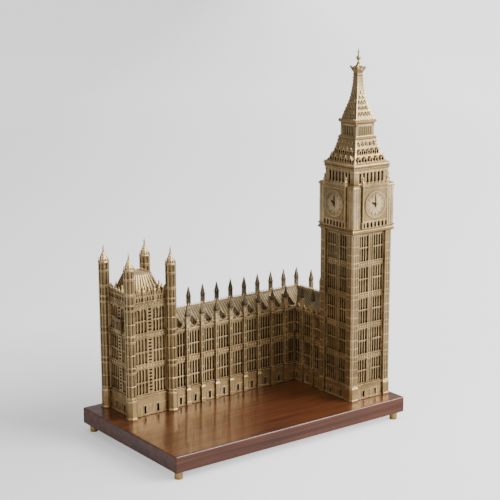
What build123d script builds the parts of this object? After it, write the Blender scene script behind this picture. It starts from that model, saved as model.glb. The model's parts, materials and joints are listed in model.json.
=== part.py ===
from build123d import *
import os

os.makedirs("parts", exist_ok=True)

# Miniature landmark model: a cast brass building group on a varnished board with turned feet.
# Millimetres. Origin: centre of the board's footprint, at the bottom of the feet.
# +X runs along the long wing towards the clock tower, +Y to the back, +Z up.

# ---------------------------------------------------------------- board and feet
BOARD_L = 360.0
BOARD_W = 218.0
BOARD_T = 21.0
BOARD_EDGE = 1.8
FOOT_D = 10.0
FOOT_H = 10.5
FOOT_INSET = 10.0
STUD_D = 4.0
STUD_L = 12.0
DECK = FOOT_H + BOARD_T          # height of the board's top face

# ---------------------------------------------------------------- corner pavilion
PAV_X = -122.4
PAV_Y = 62.3
PAV_HALF = 30.4                  # pavilion centre to turret axis
TURRET_D = 12.2                  # across flats
TURRET_TOP = 193.5               # above the deck, as all heights below
TURRET_TIP = 215.0
PAV_WALL_OUT = 27.4              # pavilion centre to wall face
PAV_WALL_T = 3.0
PAV_PLINTH = 26.0
PAV_STRINGS = [64.5, 105.0]
PAV_CORNICE = 145.0
PAV_PARAPET = 159.0
PAV_ROOF_TOP = 181.0
PAV_ROOF_LEDGE = 23.5
PAV_ROOF_FOOT = 21.0
PAV_ROOF_HEAD = 12.7

# ---------------------------------------------------------------- long wing and short wing
WING_FRONT = 37.4                # Y of the long wing's front face
WING_BACK = 89.2                 # Y of its back face
WING_LEFT = PAV_X + PAV_WALL_OUT
INNER_X = 112.0                  # X of the short wing's inner face
OUTER_X = 161.8                  # X of its outer face
WING_WALL_T = 3.0
WING_PLINTH = 24.0
WING_STRING = 62.5
WING_CORNICE = 101.0
WING_PARAPET = 108.0
WING_RIDGE = 122.5
EAVES_IN = 4.6                   # from a wing's face to the foot of its roof
ROOF_RIM = 4.0                   # flat rim under a roof's foot
ROOF_DROP = 3.4                  # from a ridge down to the hollow beneath it
POST_PITCH = 22.8
FIRST_POST_X = -65.0
FIRST_BACK_POST_X = -72.1
POST_W = 4.4
POST_D = 3.0
FRONT_POST_TOP = 118.0
BACK_POST_TOP = 124.0
FRONT_TIP = 134.5
BACK_TIP = 141.5
DORMER_W = 21.2
DORMER_TOP = 118.0

# ---------------------------------------------------------------- clock tower
TOWER_X = 140.8
TOWER_Y = -52.1
TOWER_SIDE = 66.4
TOWER_BUTT = 11.0                # width of a corner buttress on each face
TOWER_RECESS = 3.5               # depth of a wall behind the buttress faces
TOWER_WALL_T = 3.0
TOWER_PLINTH = 20.5
FIRST_STRING = 57.5
STAGE = 41.3
TOWER_CORNICE = 222.7
CLOCK_SIDE = 68.0
CLOCK_BASE = 229.0
CLOCK_TOP = 283.5
DIAL_BLOCK_HALF = 20.8
DIAL_BLOCK_PROUD = 3.4
DIAL_D = 35.0
DIAL_T = 1.2
DIAL_Z = 259.2
HOUR_HAND = 60.0                 # degrees to the left of twelve, the minute hand upright
BATTLEMENT = 292.0
BELFRY_SIDE = 56.8
BELFRY_TOP = 302.5
LOWER_EAVES_SIDE = 61.0
LOWER_EAVES_TOP = 309.5
LANTERN_BASE = 340.0
LANTERN_EAVES = 35.4
LANTERN_SIDE = 30.2
LANTERN_FOOT = 345.0
LANTERN_HEAD = 360.0
UPPER_FOOT = 364.5
UPPER_HEAD = 419.5
UPPER_HEAD_SIDE = 8.0
CROWN_TOP = 431.5
TIP = 454.0

# ---------------------------------------------------------------- fasteners
SCREW_D = 4.0
SCREW_HEAD_D = 7.6
SCREW_HEAD_T = 2.4
BOSS_D = 9.0
BOSS_H = 14.0
FIT_GAP = 0.05

nodes = {}


def block(x0, x1, y0, y1, z0, z1):
    """A box from its bounds; z is measured from the deck."""
    solid = Box(x1 - x0, y1 - y0, z1 - z0, align=(Align.MIN, Align.MIN, Align.MIN))
    return Pos(x0, y0, DECK + z0) * solid


def square_block(cx, cy, side, z0, z1):
    half = side / 2
    return block(cx - half, cx + half, cy - half, cy + half, z0, z1)


def square_ring(cx, cy, side, inner, z0, z1):
    return square_block(cx, cy, side, z0, z1) - square_block(cx, cy, inner, z0, z1)


def octagon_prism(cx, cy, across, z0, z1):
    """An upright octagonal prism with its flats facing X and Y."""
    outline = RegularPolygon(across / 2, 8, major_radius=False, rotation=22.5)
    return Pos(cx, cy, DECK + z0) * extrude(outline, z1 - z0)


def frustum(cx, cy, side0, side1, z0, z1):
    """A square frustum, lofted between two levels."""
    low = Pos(cx, cy, DECK + z0) * Rectangle(side0, side0)
    high = Pos(cx, cy, DECK + z1) * Rectangle(side1, side1)
    return loft([low, high], ruled=True)


def octagon_spire(cx, cy, across0, across1, z0, z1):
    low = Pos(cx, cy, DECK + z0) * RegularPolygon(across0 / 2, 8, major_radius=False, rotation=22.5)
    high = Pos(cx, cy, DECK + z1) * RegularPolygon(across1 / 2, 8, major_radius=False, rotation=22.5)
    return loft([low, high], ruled=True)


def peg(cx, cy, d, z0, z1):
    solid = Cylinder(d / 2, z1 - z0, align=(Align.CENTER, Align.CENTER, Align.MIN))
    return Pos(cx, cy, DECK + z0) * solid


def fused(parts):
    total = parts[0]
    for item in parts[1:]:
        total = total + item
    return total


def cut(shape, tools):
    for tool in tools:
        shape = shape - tool
    return shape


def add(name, shape):
    """Keep a sub-part under its node name; a list is a group of separate solids."""
    if isinstance(shape, list):
        shape = Compound(children=[solid for item in shape for solid in item.solids()])
    nodes[name] = shape


# ---------------------------------------------------------------- board, feet, screws
def post_xs():
    """X of every post on the long wing's back wall."""
    return [FIRST_BACK_POST_X + POST_PITCH * i for i in range(11)]


def front_post_xs():
    return [FIRST_POST_X + POST_PITCH * i for i in range(8)]


def side_post_ys(y_low):
    """Y of the posts on the short wing's sides, counted forward from the back corner."""
    ys = [WING_BACK - POST_PITCH * i for i in range(1, 6)]
    return [y for y in ys if y > y_low]


def foot_spots():
    x = BOARD_L / 2 - FOOT_INSET
    y = BOARD_W / 2 - FOOT_INSET
    return {"front_left": (-x, -y), "front_right": (x, -y), "back_left": (-x, y), "back_right": (x, y)}


def screw_spots():
    """Screws up into the bosses inside each plinth."""
    inset = BOSS_D / 2 + TOWER_WALL_T + 3
    spots = []
    for cx, cy, half in ((PAV_X, PAV_Y, PAV_WALL_OUT - PAV_WALL_T), (TOWER_X, TOWER_Y, TOWER_SIDE / 2 - 7)):
        reach = half - inset + 4
        spots += [(cx - reach, cy - reach), (cx + reach, cy + reach)]
    y_mid = (WING_FRONT + WING_BACK) / 2
    spots += [(-60.0, y_mid), (60.0, y_mid)]
    return spots


def base_board():
    board = Pos(0, 0, FOOT_H) * Box(BOARD_L, BOARD_W, BOARD_T, align=(Align.CENTER, Align.CENTER, Align.MIN))
    board = fillet(board.edges(), BOARD_EDGE)
    for x, y in foot_spots().values():
        board = board - peg(x, y, STUD_D, FOOT_H - DECK, FOOT_H + STUD_L - DECK)
    for x, y in screw_spots():
        board = board - peg(x, y, SCREW_D, FOOT_H - DECK, 0)
        board = board - peg(x, y, SCREW_HEAD_D, FOOT_H - DECK, FOOT_H + SCREW_HEAD_T - DECK)
    add("base_board", board)


def feet():
    for spot, (x, y) in foot_spots().items():
        barrel = peg(x, y, FOOT_D, -DECK, FOOT_H - DECK)
        barrel = fillet(barrel.edges(), 0.6)
        stud = peg(x, y, STUD_D, FOOT_H - DECK - 1, FOOT_H - DECK + STUD_L)
        add("foot_" + spot, barrel + stud)


def deck_screws():
    screws = []
    for x, y in screw_spots():
        shank = peg(x, y, SCREW_D - 2 * FIT_GAP, FOOT_H - DECK, BOSS_H - 3)
        head = peg(x, y, SCREW_HEAD_D - 2 * FIT_GAP, FOOT_H - DECK, FOOT_H - DECK + SCREW_HEAD_T)
        socket = peg(x, y, 2.5, FOOT_H - DECK, FOOT_H - DECK + 1.4)
        screws.append(shank + head - socket)
    add("deck_screws", screws)


def with_bosses(plinth, spots, links):
    """Add a drilled screw boss at each spot, tied to the plinth by a rib."""
    for (x, y), (lx0, lx1, ly0, ly1) in zip(spots, links):
        plinth = plinth + peg(x, y, BOSS_D, 0, BOSS_H) + block(lx0, lx1, ly0, ly1, 0, BOSS_H)
    return cut(plinth, [peg(x, y, SCREW_D, 0, BOSS_H - 2) for x, y in spots])


# ---------------------------------------------------------------- windows and walls
def wall_panel(along, lo, hi, face, out, thick, z0, z1, bays, levels):
    """A wall plate with shallow window recesses.

    along: "x" or "y"; face: coordinate of the outer face; out: +1 or -1, the way the face looks;
    bays: (start, end) of each window; levels: (bottom, top) of each window.
    """
    depth = 1.0

    def plate(a0, a1, near, far, b0, b1):
        f0, f1 = sorted((near, far))
        if along == "x":
            return block(a0, a1, f0, f1, b0, b1)
        return block(f0, f1, a0, a1, b0, b1)

    wall = plate(lo, hi, face, face - out * thick, z0, z1)
    for a0, a1 in bays:
        for b0, b1 in levels:
            wall = wall - plate(a0, a1, face, face - out * depth, b0, b1)
    return wall


def turret(cx, cy):
    body = [octagon_prism(cx, cy, TURRET_D, 0, TURRET_TOP - 3)]
    body.append(octagon_prism(cx, cy, TURRET_D + 3.0, 0, 3.0))
    body.append(octagon_prism(cx, cy, TURRET_D + 1.4, 0, PAV_PLINTH))
    for z in PAV_STRINGS + [PAV_CORNICE, PAV_CORNICE + 17, PAV_CORNICE + 35]:
        body.append(octagon_prism(cx, cy, TURRET_D + 1.2, z - 1.4, z + 1.4))
    body.append(octagon_prism(cx, cy, TURRET_D + 2.0, TURRET_TOP - 3, TURRET_TOP))
    solid = fused(body)
    return solid - peg(cx, cy, 3.0 + 2 * FIT_GAP, TURRET_TOP - 6, TURRET_TOP)


def turret_spirelet(cx, cy):
    """A pointed cap with a peg into the turret's head."""
    cap = octagon_spire(cx, cy, TURRET_D + 1.0, 6.4, TURRET_TOP, TURRET_TOP + 5)
    cap = cap + octagon_spire(cx, cy, 6.4, 2.2, TURRET_TOP + 5, TURRET_TOP + 11)
    cap = cap + octagon_spire(cx, cy, 2.2, 0.6, TURRET_TOP + 11, TURRET_TIP)
    return cap + peg(cx, cy, 3.0, TURRET_TOP - 5.5, TURRET_TOP)


def pavilion():
    corners = {"front_left": (-1, -1), "front_right": (1, -1), "back_left": (-1, 1), "back_right": (1, 1)}
    turrets = {}
    spirelets = []
    for spot, (sx, sy) in corners.items():
        cx = PAV_X + sx * PAV_HALF
        cy = PAV_Y + sy * PAV_HALF
        turrets[spot] = turret(cx, cy)
        add("turret_" + spot, turrets[spot])
        spirelets.append(turret_spirelet(cx, cy))
    add("turret_spirelets", spirelets)
    posts = list(turrets.values())

    out = 2 * PAV_WALL_OUT
    inner = out - 2 * PAV_WALL_T
    plinth = square_ring(PAV_X, PAV_Y, out + 1.6, inner, 0, PAV_PLINTH)
    plinth = plinth + square_ring(PAV_X, PAV_Y, out + 4.0, inner, 0, 2.6)
    for sx in (-1, 1):
        door = PAV_X + sx * 6.0
        face = PAV_Y - PAV_WALL_OUT
        plinth = plinth - block(door - 2.2, door + 2.2, face - 3, face + 0.4, 2.6, 14.5)
    spots = screw_spots()[:2]
    half = inner / 2
    links = [(PAV_X - half, spots[0][0], spots[0][1] - 1, spots[0][1] + 1),
             (spots[1][0], PAV_X + half, spots[1][1] - 1, spots[1][1] + 1)]
    plinth = with_bosses(plinth, spots, links)
    wing_side = block(WING_LEFT, WING_LEFT + 5, WING_FRONT - 6, WING_BACK + 6, 0, PAV_PLINTH)
    add("pavilion_plinth", cut(plinth, posts + [wing_side]))

    edges = [PAV_PLINTH] + PAV_STRINGS + [PAV_CORNICE]
    levels = [(edges[i] + 5, edges[i + 1] - 4) for i in range(3)]
    windows = [(-20.5, -4.5), (4.5, 20.5)]
    sides = {"front": ("x", PAV_X, PAV_Y - PAV_WALL_OUT, -1), "back": ("x", PAV_X, PAV_Y + PAV_WALL_OUT, 1),
             "left": ("y", PAV_Y, PAV_X - PAV_WALL_OUT, -1), "right": ("y", PAV_Y, PAV_X + PAV_WALL_OUT, 1)}
    for side, (along, mid, face, way) in sides.items():
        bays = [(mid + a, mid + b) for a, b in windows]
        ends = PAV_WALL_OUT if along == "x" else PAV_WALL_OUT - PAV_WALL_T
        shown = levels if side != "right" else levels[2:]
        wall = wall_panel(along, mid - ends, mid + ends, face, way, PAV_WALL_T, PAV_PLINTH,
                          PAV_CORNICE + 2, bays, shown)
        add("pavilion_" + side + "_wall", cut(wall, posts))

    oriel = block(PAV_X - PAV_WALL_OUT - 4.0, PAV_X - PAV_WALL_OUT, PAV_Y - 8, PAV_Y + 8, 108, 122)
    oriel = oriel + block(PAV_X - PAV_WALL_OUT - 5.0, PAV_X - PAV_WALL_OUT, PAV_Y - 9, PAV_Y + 9, 122, 124.5)
    add("pavilion_oriel", oriel)

    parapet = square_ring(PAV_X, PAV_Y, out + 1.0, out - 3.0, PAV_CORNICE + 2, PAV_PARAPET)
    for i in range(-3, 4):
        notch = 3.4 * 2 * i
        for along in (0, 1):
            if along:
                tool = block(PAV_X + notch - 1.5, PAV_X + notch + 1.5, PAV_Y - 30, PAV_Y + 30,
                             PAV_PARAPET - 3, PAV_PARAPET)
            else:
                tool = block(PAV_X - 30, PAV_X + 30, PAV_Y + notch - 1.5, PAV_Y + notch + 1.5,
                             PAV_PARAPET - 3, PAV_PARAPET)
            parapet = parapet - tool
    add("pavilion_parapet", cut(parapet, posts))

    # a flat ledge behind the parapet, then three swept stages
    roof = square_block(PAV_X, PAV_Y, 2 * PAV_ROOF_LEDGE, PAV_CORNICE + 2, PAV_CORNICE + 4)
    roof = roof + frustum(PAV_X, PAV_Y, 2 * PAV_ROOF_FOOT, 36.8, PAV_CORNICE + 4, 163)
    roof = roof + frustum(PAV_X, PAV_Y, 36.8, 31.0, 163, 173)
    roof = roof + frustum(PAV_X, PAV_Y, 31.0, 2 * PAV_ROOF_HEAD, 173, PAV_ROOF_TOP)
    add("pavilion_roof", roof)


# ---------------------------------------------------------------- wings
def post(cx, cy, nx, ny, top):
    """A buttress post standing proud of a wall that faces (nx, ny)."""
    half = POST_W / 2
    depth = POST_D

    def slab(wide, deep, z0, z1):
        w = wide / 2
        if ny:
            y0, y1 = sorted((cy, cy + ny * deep))
            return block(cx - w, cx + w, y0, y1, z0, z1)
        x0, x1 = sorted((cx, cx + nx * deep))
        return block(x0, x1, cy - w, cy + w, z0, z1)

    body = slab(2 * half + 1.6, depth + 1.0, 0, WING_PLINTH - 2)
    body = body + slab(2 * half, depth, WING_PLINTH - 2, top)
    return body


def pinnacle(cx, cy, nx, ny, z0, tip):
    """A square-footed spirelet seated on a post's head."""
    x = cx + nx * POST_D / 2
    y = cy + ny * POST_D / 2
    shoulder = z0 + 0.35 * (tip - z0)
    body = frustum(x, y, 3.0, 3.0, z0, shoulder - 1)
    body = body + frustum(x, y, 4.6, 3.2, shoulder - 1, shoulder + 1)
    return body + frustum(x, y, 3.2, 0.5, shoulder + 1, tip)


def gablets(along, lo, hi, face, way, thick, pitch):
    """A parapet rail with a row of pointed gablets along its top."""
    count = max(1, round((hi - lo) / pitch))
    step = (hi - lo) / count
    points = [(lo, WING_CORNICE + 1.5)]
    for i in range(count):
        points.append((lo + i * step + 0.01, WING_CORNICE + 4))
        points.append((lo + (i + 0.5) * step, WING_PARAPET))
        points.append((lo + (i + 1) * step - 0.01, WING_CORNICE + 4))
    points.append((hi, WING_CORNICE + 1.5))
    sheet = make_face(Polyline([(a, DECK + z) for a, z in points], close=True))
    if along == "x":
        far = face + thick if way < 0 else face
        return Pos(0, far, 0) * extrude(Plane.XZ * sheet, thick)
    near = face if way < 0 else face - thick
    return Pos(near, 0, 0) * extrude(Plane.YZ * sheet, thick)


def gable_prism(along, lo, hi, mid, half, z_eaves, z_ridge):
    """A solid with a gabled section running along X or Y."""
    outline = [(mid - half, DECK + z_eaves), (mid + half, DECK + z_eaves), (mid, DECK + z_ridge)]
    sheet = make_face(Polyline(outline, close=True))
    if along == "x":
        return Pos(lo, 0, 0) * extrude(Plane.YZ * sheet, hi - lo)
    return Pos(0, hi, 0) * extrude(Plane.XZ * sheet, hi - lo)


def roof_shell(along, lo, hi, mid, half, hip=None):
    """A folded roof sheet over a flat rim, hollow beneath.

    hip: (eaves x, ridge x) of a slope that closes the high end, or None for an open end.
    """
    z0 = WING_CORNICE + 1.5
    outer = gable_prism(along, lo, hi, mid, half, z0, WING_RIDGE)
    inner = gable_prism(along, lo, hi, mid, half - ROOF_RIM, z0, WING_RIDGE - ROOF_DROP)
    if hip:
        eaves, ridge = hip
        outer = outer - hip_cutter(eaves, ridge, WING_RIDGE)
        inner = inner - hip_cutter(eaves - ROOF_RIM, ridge, WING_RIDGE - ROOF_DROP)
    return outer - inner


def hip_cutter(eaves, ridge, z_ridge):
    """Everything above and outside a slope that rises from an eaves line to a ridge line along Y."""
    z0 = DECK + WING_CORNICE + 1.5
    z1 = DECK + z_ridge
    outline = [(eaves, z0), (ridge, z1), (ridge, z1 + 9), (eaves + 9, z1 + 9), (eaves + 9, z0)]
    sheet = make_face(Polyline(outline, close=True))
    return Pos(0, WING_BACK + 1, 0) * extrude(Plane.XZ * sheet, WING_BACK - WING_FRONT + 2)


def wings():
    y_mid = (WING_FRONT + WING_BACK) / 2
    x_mid = (INNER_X + OUTER_X) / 2
    half_y = (WING_BACK - WING_FRONT) / 2 - EAVES_IN
    half_x = (OUTER_X - INNER_X) / 2 - EAVES_IN
    tower_back = TOWER_Y + TOWER_SIDE / 2
    t = WING_WALL_T
    turret_back = turret(PAV_X + PAV_HALF, PAV_Y + PAV_HALF)
    turret_front = turret(PAV_X + PAV_HALF, PAV_Y - PAV_HALF)
    corner_cut = [turret_back, turret_front]
    tower_cut = [buttress(-1, 1), buttress(1, 1)]

    # plinths
    front = block(WING_LEFT, INNER_X, WING_FRONT - 0.8, WING_FRONT + t, 0, WING_PLINTH)
    front = front + block(WING_LEFT, INNER_X, WING_FRONT - 2.0, WING_FRONT + t, 0, 2.4)
    back = block(WING_LEFT, OUTER_X, WING_BACK - t, WING_BACK + 0.8, 0, WING_PLINTH)
    back = back + block(WING_LEFT, OUTER_X, WING_BACK - t, WING_BACK + 2.0, 0, 2.4)
    cross = block(-24, -20, WING_FRONT + t, WING_BACK - t, 0, 4)
    cross = cross + block(20, 24, WING_FRONT + t, WING_BACK - t, 0, 4)
    spots = screw_spots()[4:6]
    ties = [(x - 1, x + 1, WING_FRONT + t, y) for x, y in spots]
    plinth = with_bosses(fused([front, back, cross]), spots, ties)
    doors = [x - POST_PITCH * 0.28 for x in front_post_xs()]
    for x in doors:
        plinth = plinth - block(x - 2.0, x + 2.0, WING_FRONT - 3, WING_FRONT + 0.4, 2.4, 13.5)
    posts = [post(x, WING_FRONT, 0, -1, FRONT_POST_TOP) for x in front_post_xs()]
    back_posts = [post(x, WING_BACK, 0, 1, BACK_POST_TOP) for x in post_xs()]
    plinth_long = cut(plinth, posts + back_posts + corner_cut)
    add("long_wing_plinth", plinth_long)

    inner = block(INNER_X - 0.8, INNER_X + t, tower_back, WING_FRONT - 0.8, 0, WING_PLINTH)
    outer = block(OUTER_X - t, OUTER_X + 0.8, tower_back, WING_BACK - t, 0, WING_PLINTH)
    outer = outer + block(OUTER_X - t, OUTER_X + 2.0, tower_back, WING_BACK - t, 0, 2.4)
    tie = block(INNER_X + t, OUTER_X - t, WING_FRONT - 12, WING_FRONT - 8, 0, 4)
    right_ys = side_post_ys(tower_back + 4)
    left_ys = [y for y in right_ys if y < WING_FRONT - 6]
    left_posts = [post(INNER_X, y, -1, 0, FRONT_POST_TOP) for y in left_ys]
    right_posts = [post(OUTER_X, y, 1, 0, BACK_POST_TOP) for y in right_ys]
    around = left_posts + right_posts + tower_cut + [plinth_long]
    add("short_wing_plinth", cut(fused([inner + tie, outer]), around))

    # walls: a window in each bay, on two levels
    levels = [(WING_PLINTH + 4, WING_STRING - 4), (WING_STRING + 4, WING_CORNICE - 3)]
    margin = POST_W / 2 + 2.0
    bays = [(x + margin, x + POST_PITCH - margin) for x in front_post_xs()[:-1]]
    wall = wall_panel("x", WING_LEFT, INNER_X + t, WING_FRONT, -1, t, WING_PLINTH, WING_CORNICE, bays, levels)
    add("long_wing_front_wall", cut(wall, posts + corner_cut))
    bays = [(x + margin, x + POST_PITCH - margin) for x in post_xs()[:-1]]
    wall = wall_panel("x", WING_LEFT, OUTER_X, WING_BACK, 1, t, WING_PLINTH, WING_CORNICE, bays, levels)
    add("long_wing_back_wall", cut(wall, back_posts + corner_cut))
    bays = [(y + margin, y + POST_PITCH - margin) for y in right_ys]
    wall = wall_panel("y", tower_back, WING_BACK - t, OUTER_X, 1, t, WING_PLINTH, WING_CORNICE, bays, levels)
    add("short_wing_outer_wall", cut(wall, right_posts + tower_cut))
    bays = [(y + margin, y + POST_PITCH - margin) for y in left_ys[1:]]
    wall = wall_panel("y", tower_back, WING_FRONT, INNER_X, -1, t, WING_PLINTH, WING_CORNICE, bays, levels)
    add("short_wing_inner_wall", cut(wall, left_posts + tower_cut))

    add("long_wing_front_buttresses", posts)
    add("long_wing_back_buttresses", back_posts)
    add("short_wing_buttresses", left_posts + right_posts)

    # cornices, parapets
    def rail(x0, x1, y0, y1):
        return block(x0, x1, y0, y1, WING_CORNICE, WING_CORNICE + 1.5)

    thick = 1.4
    every_post = posts + back_posts + left_posts + right_posts + corner_cut + tower_cut
    line = rail(WING_LEFT, INNER_X + t, WING_FRONT - 1.0, WING_FRONT + t)
    crest = gablets("x", WING_LEFT, INNER_X, WING_FRONT, -1, thick, POST_PITCH / 2)
    add("long_wing_front_parapet", cut(line + crest, every_post))
    line = rail(WING_LEFT, OUTER_X, WING_BACK - t, WING_BACK + 1.0)
    crest = gablets("x", WING_LEFT, OUTER_X, WING_BACK, 1, thick, POST_PITCH / 2)
    add("long_wing_back_parapet", cut(line + crest, every_post))
    line = rail(INNER_X - 1.0, INNER_X + t, tower_back, WING_FRONT - 1.0)
    crest = gablets("y", tower_back, WING_FRONT - 1.0, INNER_X, -1, thick, POST_PITCH / 2)
    add("short_wing_inner_parapet", cut(line + crest, every_post))
    line = rail(OUTER_X - t, OUTER_X + 1.0, tower_back, WING_BACK - t)
    crest = gablets("y", tower_back, WING_BACK - t, OUTER_X, 1, thick, POST_PITCH / 2)
    add("short_wing_outer_parapet", cut(line + crest, every_post))

    # pinnacles
    spires = [pinnacle(x, WING_FRONT, 0, -1, FRONT_POST_TOP, FRONT_TIP) for x in front_post_xs()]
    spires += [pinnacle(x, WING_BACK, 0, 1, BACK_POST_TOP, BACK_TIP) for x in post_xs()]
    add("long_wing_pinnacles", spires)
    spires = [pinnacle(INNER_X, y, -1, 0, FRONT_POST_TOP, FRONT_TIP) for y in left_ys]
    spires += [pinnacle(OUTER_X, y, 1, 0, BACK_POST_TOP, BACK_TIP) for y in right_ys]
    add("short_wing_pinnacles", spires)

    # roofs: the long one runs to the outer face, the short one meets it
    eaves_x = OUTER_X - EAVES_IN
    long_roof = roof_shell("x", WING_LEFT, eaves_x, y_mid, half_y, (eaves_x, x_mid))
    bay_mids = [x - POST_PITCH / 2 for x in front_post_xs()]
    bay_mids.append(front_post_xs()[-1] + POST_PITCH / 2 - 1.0)
    dormers = [gable_prism("y", WING_FRONT + EAVES_IN + 1.4, y_mid - 6, x, DORMER_W / 2, WING_CORNICE + 1.5,
                           DORMER_TOP) for x in bay_mids]
    inside = gable_prism("x", WING_LEFT, INNER_X, y_mid, half_y - ROOF_RIM, WING_CORNICE + 1.5,
                         WING_RIDGE - ROOF_DROP)
    dormers = [dormer - inside for dormer in dormers]
    add("long_wing_roof", fused([long_roof] + dormers))
    short_roof = roof_shell("y", tower_back, y_mid, x_mid, half_x)
    solid_long = gable_prism("x", INNER_X - 30, OUTER_X + 10, y_mid, half_y, WING_CORNICE + 1.5, WING_RIDGE)
    add("short_wing_roof", short_roof - solid_long)

    # ridge cresting: a thin saddle strip with spikes
    def cresting(along, lo, hi, mid):
        count = round((hi - lo) / (POST_PITCH / 2))
        step = (hi - lo) / count
        parts = []
        for i in range(count):
            a0 = lo + i * step
            if along == "x":
                parts.append(block(a0, a0 + step, mid - 1.1, mid + 1.1, WING_RIDGE - 0.9, WING_RIDGE + 1.3))
                parts.append(frustum(a0 + step / 2, mid, 1.6, 0.5, WING_RIDGE + 1.3, WING_RIDGE + 4.2))
            else:
                parts.append(block(mid - 1.1, mid + 1.1, a0, a0 + step, WING_RIDGE - 0.9, WING_RIDGE + 1.3))
                parts.append(frustum(mid, a0 + step / 2, 1.6, 0.5, WING_RIDGE + 1.3, WING_RIDGE + 4.2))
        return fused(parts)

    strip = cresting("x", WING_LEFT, x_mid + 1.1, y_mid)
    add("long_wing_ridge_cresting", cut(strip, [nodes["long_wing_roof"], nodes["short_wing_roof"]]))
    strip = cresting("y", tower_back, y_mid - 1.1, x_mid)
    add("short_wing_ridge_cresting", cut(strip, [nodes["short_wing_roof"], solid_long]))


# ---------------------------------------------------------------- clock tower
def buttress(sx, sy):
    """One corner buttress: a square shaft with a pair of bands at each string."""
    half = TOWER_SIDE / 2

    def shaft(grow, z0, z1):
        x0, x1 = sorted((TOWER_X + sx * (half + grow), TOWER_X + sx * (half - TOWER_BUTT)))
        y0, y1 = sorted((TOWER_Y + sy * (half + grow), TOWER_Y + sy * (half - TOWER_BUTT)))
        return block(x0, x1, y0, y1, z0, z1)

    body = [shaft(0, 0, TOWER_CORNICE), shaft(0.8, 0, TOWER_PLINTH), shaft(1.6, 0, 2.4)]
    for i in range(4):
        z = FIRST_STRING + STAGE * i
        body.append(shaft(0.6, z - 3.2, z - 1.8))
        body.append(shaft(0.6, z + 1.8, z + 3.2))
    return fused(body)


def on_face(sx, sy, a0, a1, d0, d1, z0, z1):
    """A block on the tower side that faces (sx, sy): a0 to a1 along it, d0 to d1 out from the axis."""
    if sy:
        y0, y1 = sorted((TOWER_Y + sy * d0, TOWER_Y + sy * d1))
        return block(TOWER_X + a0, TOWER_X + a1, y0, y1, z0, z1)
    x0, x1 = sorted((TOWER_X + sx * d0, TOWER_X + sx * d1))
    return block(x0, x1, TOWER_Y + a0, TOWER_Y + a1, z0, z1)


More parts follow.
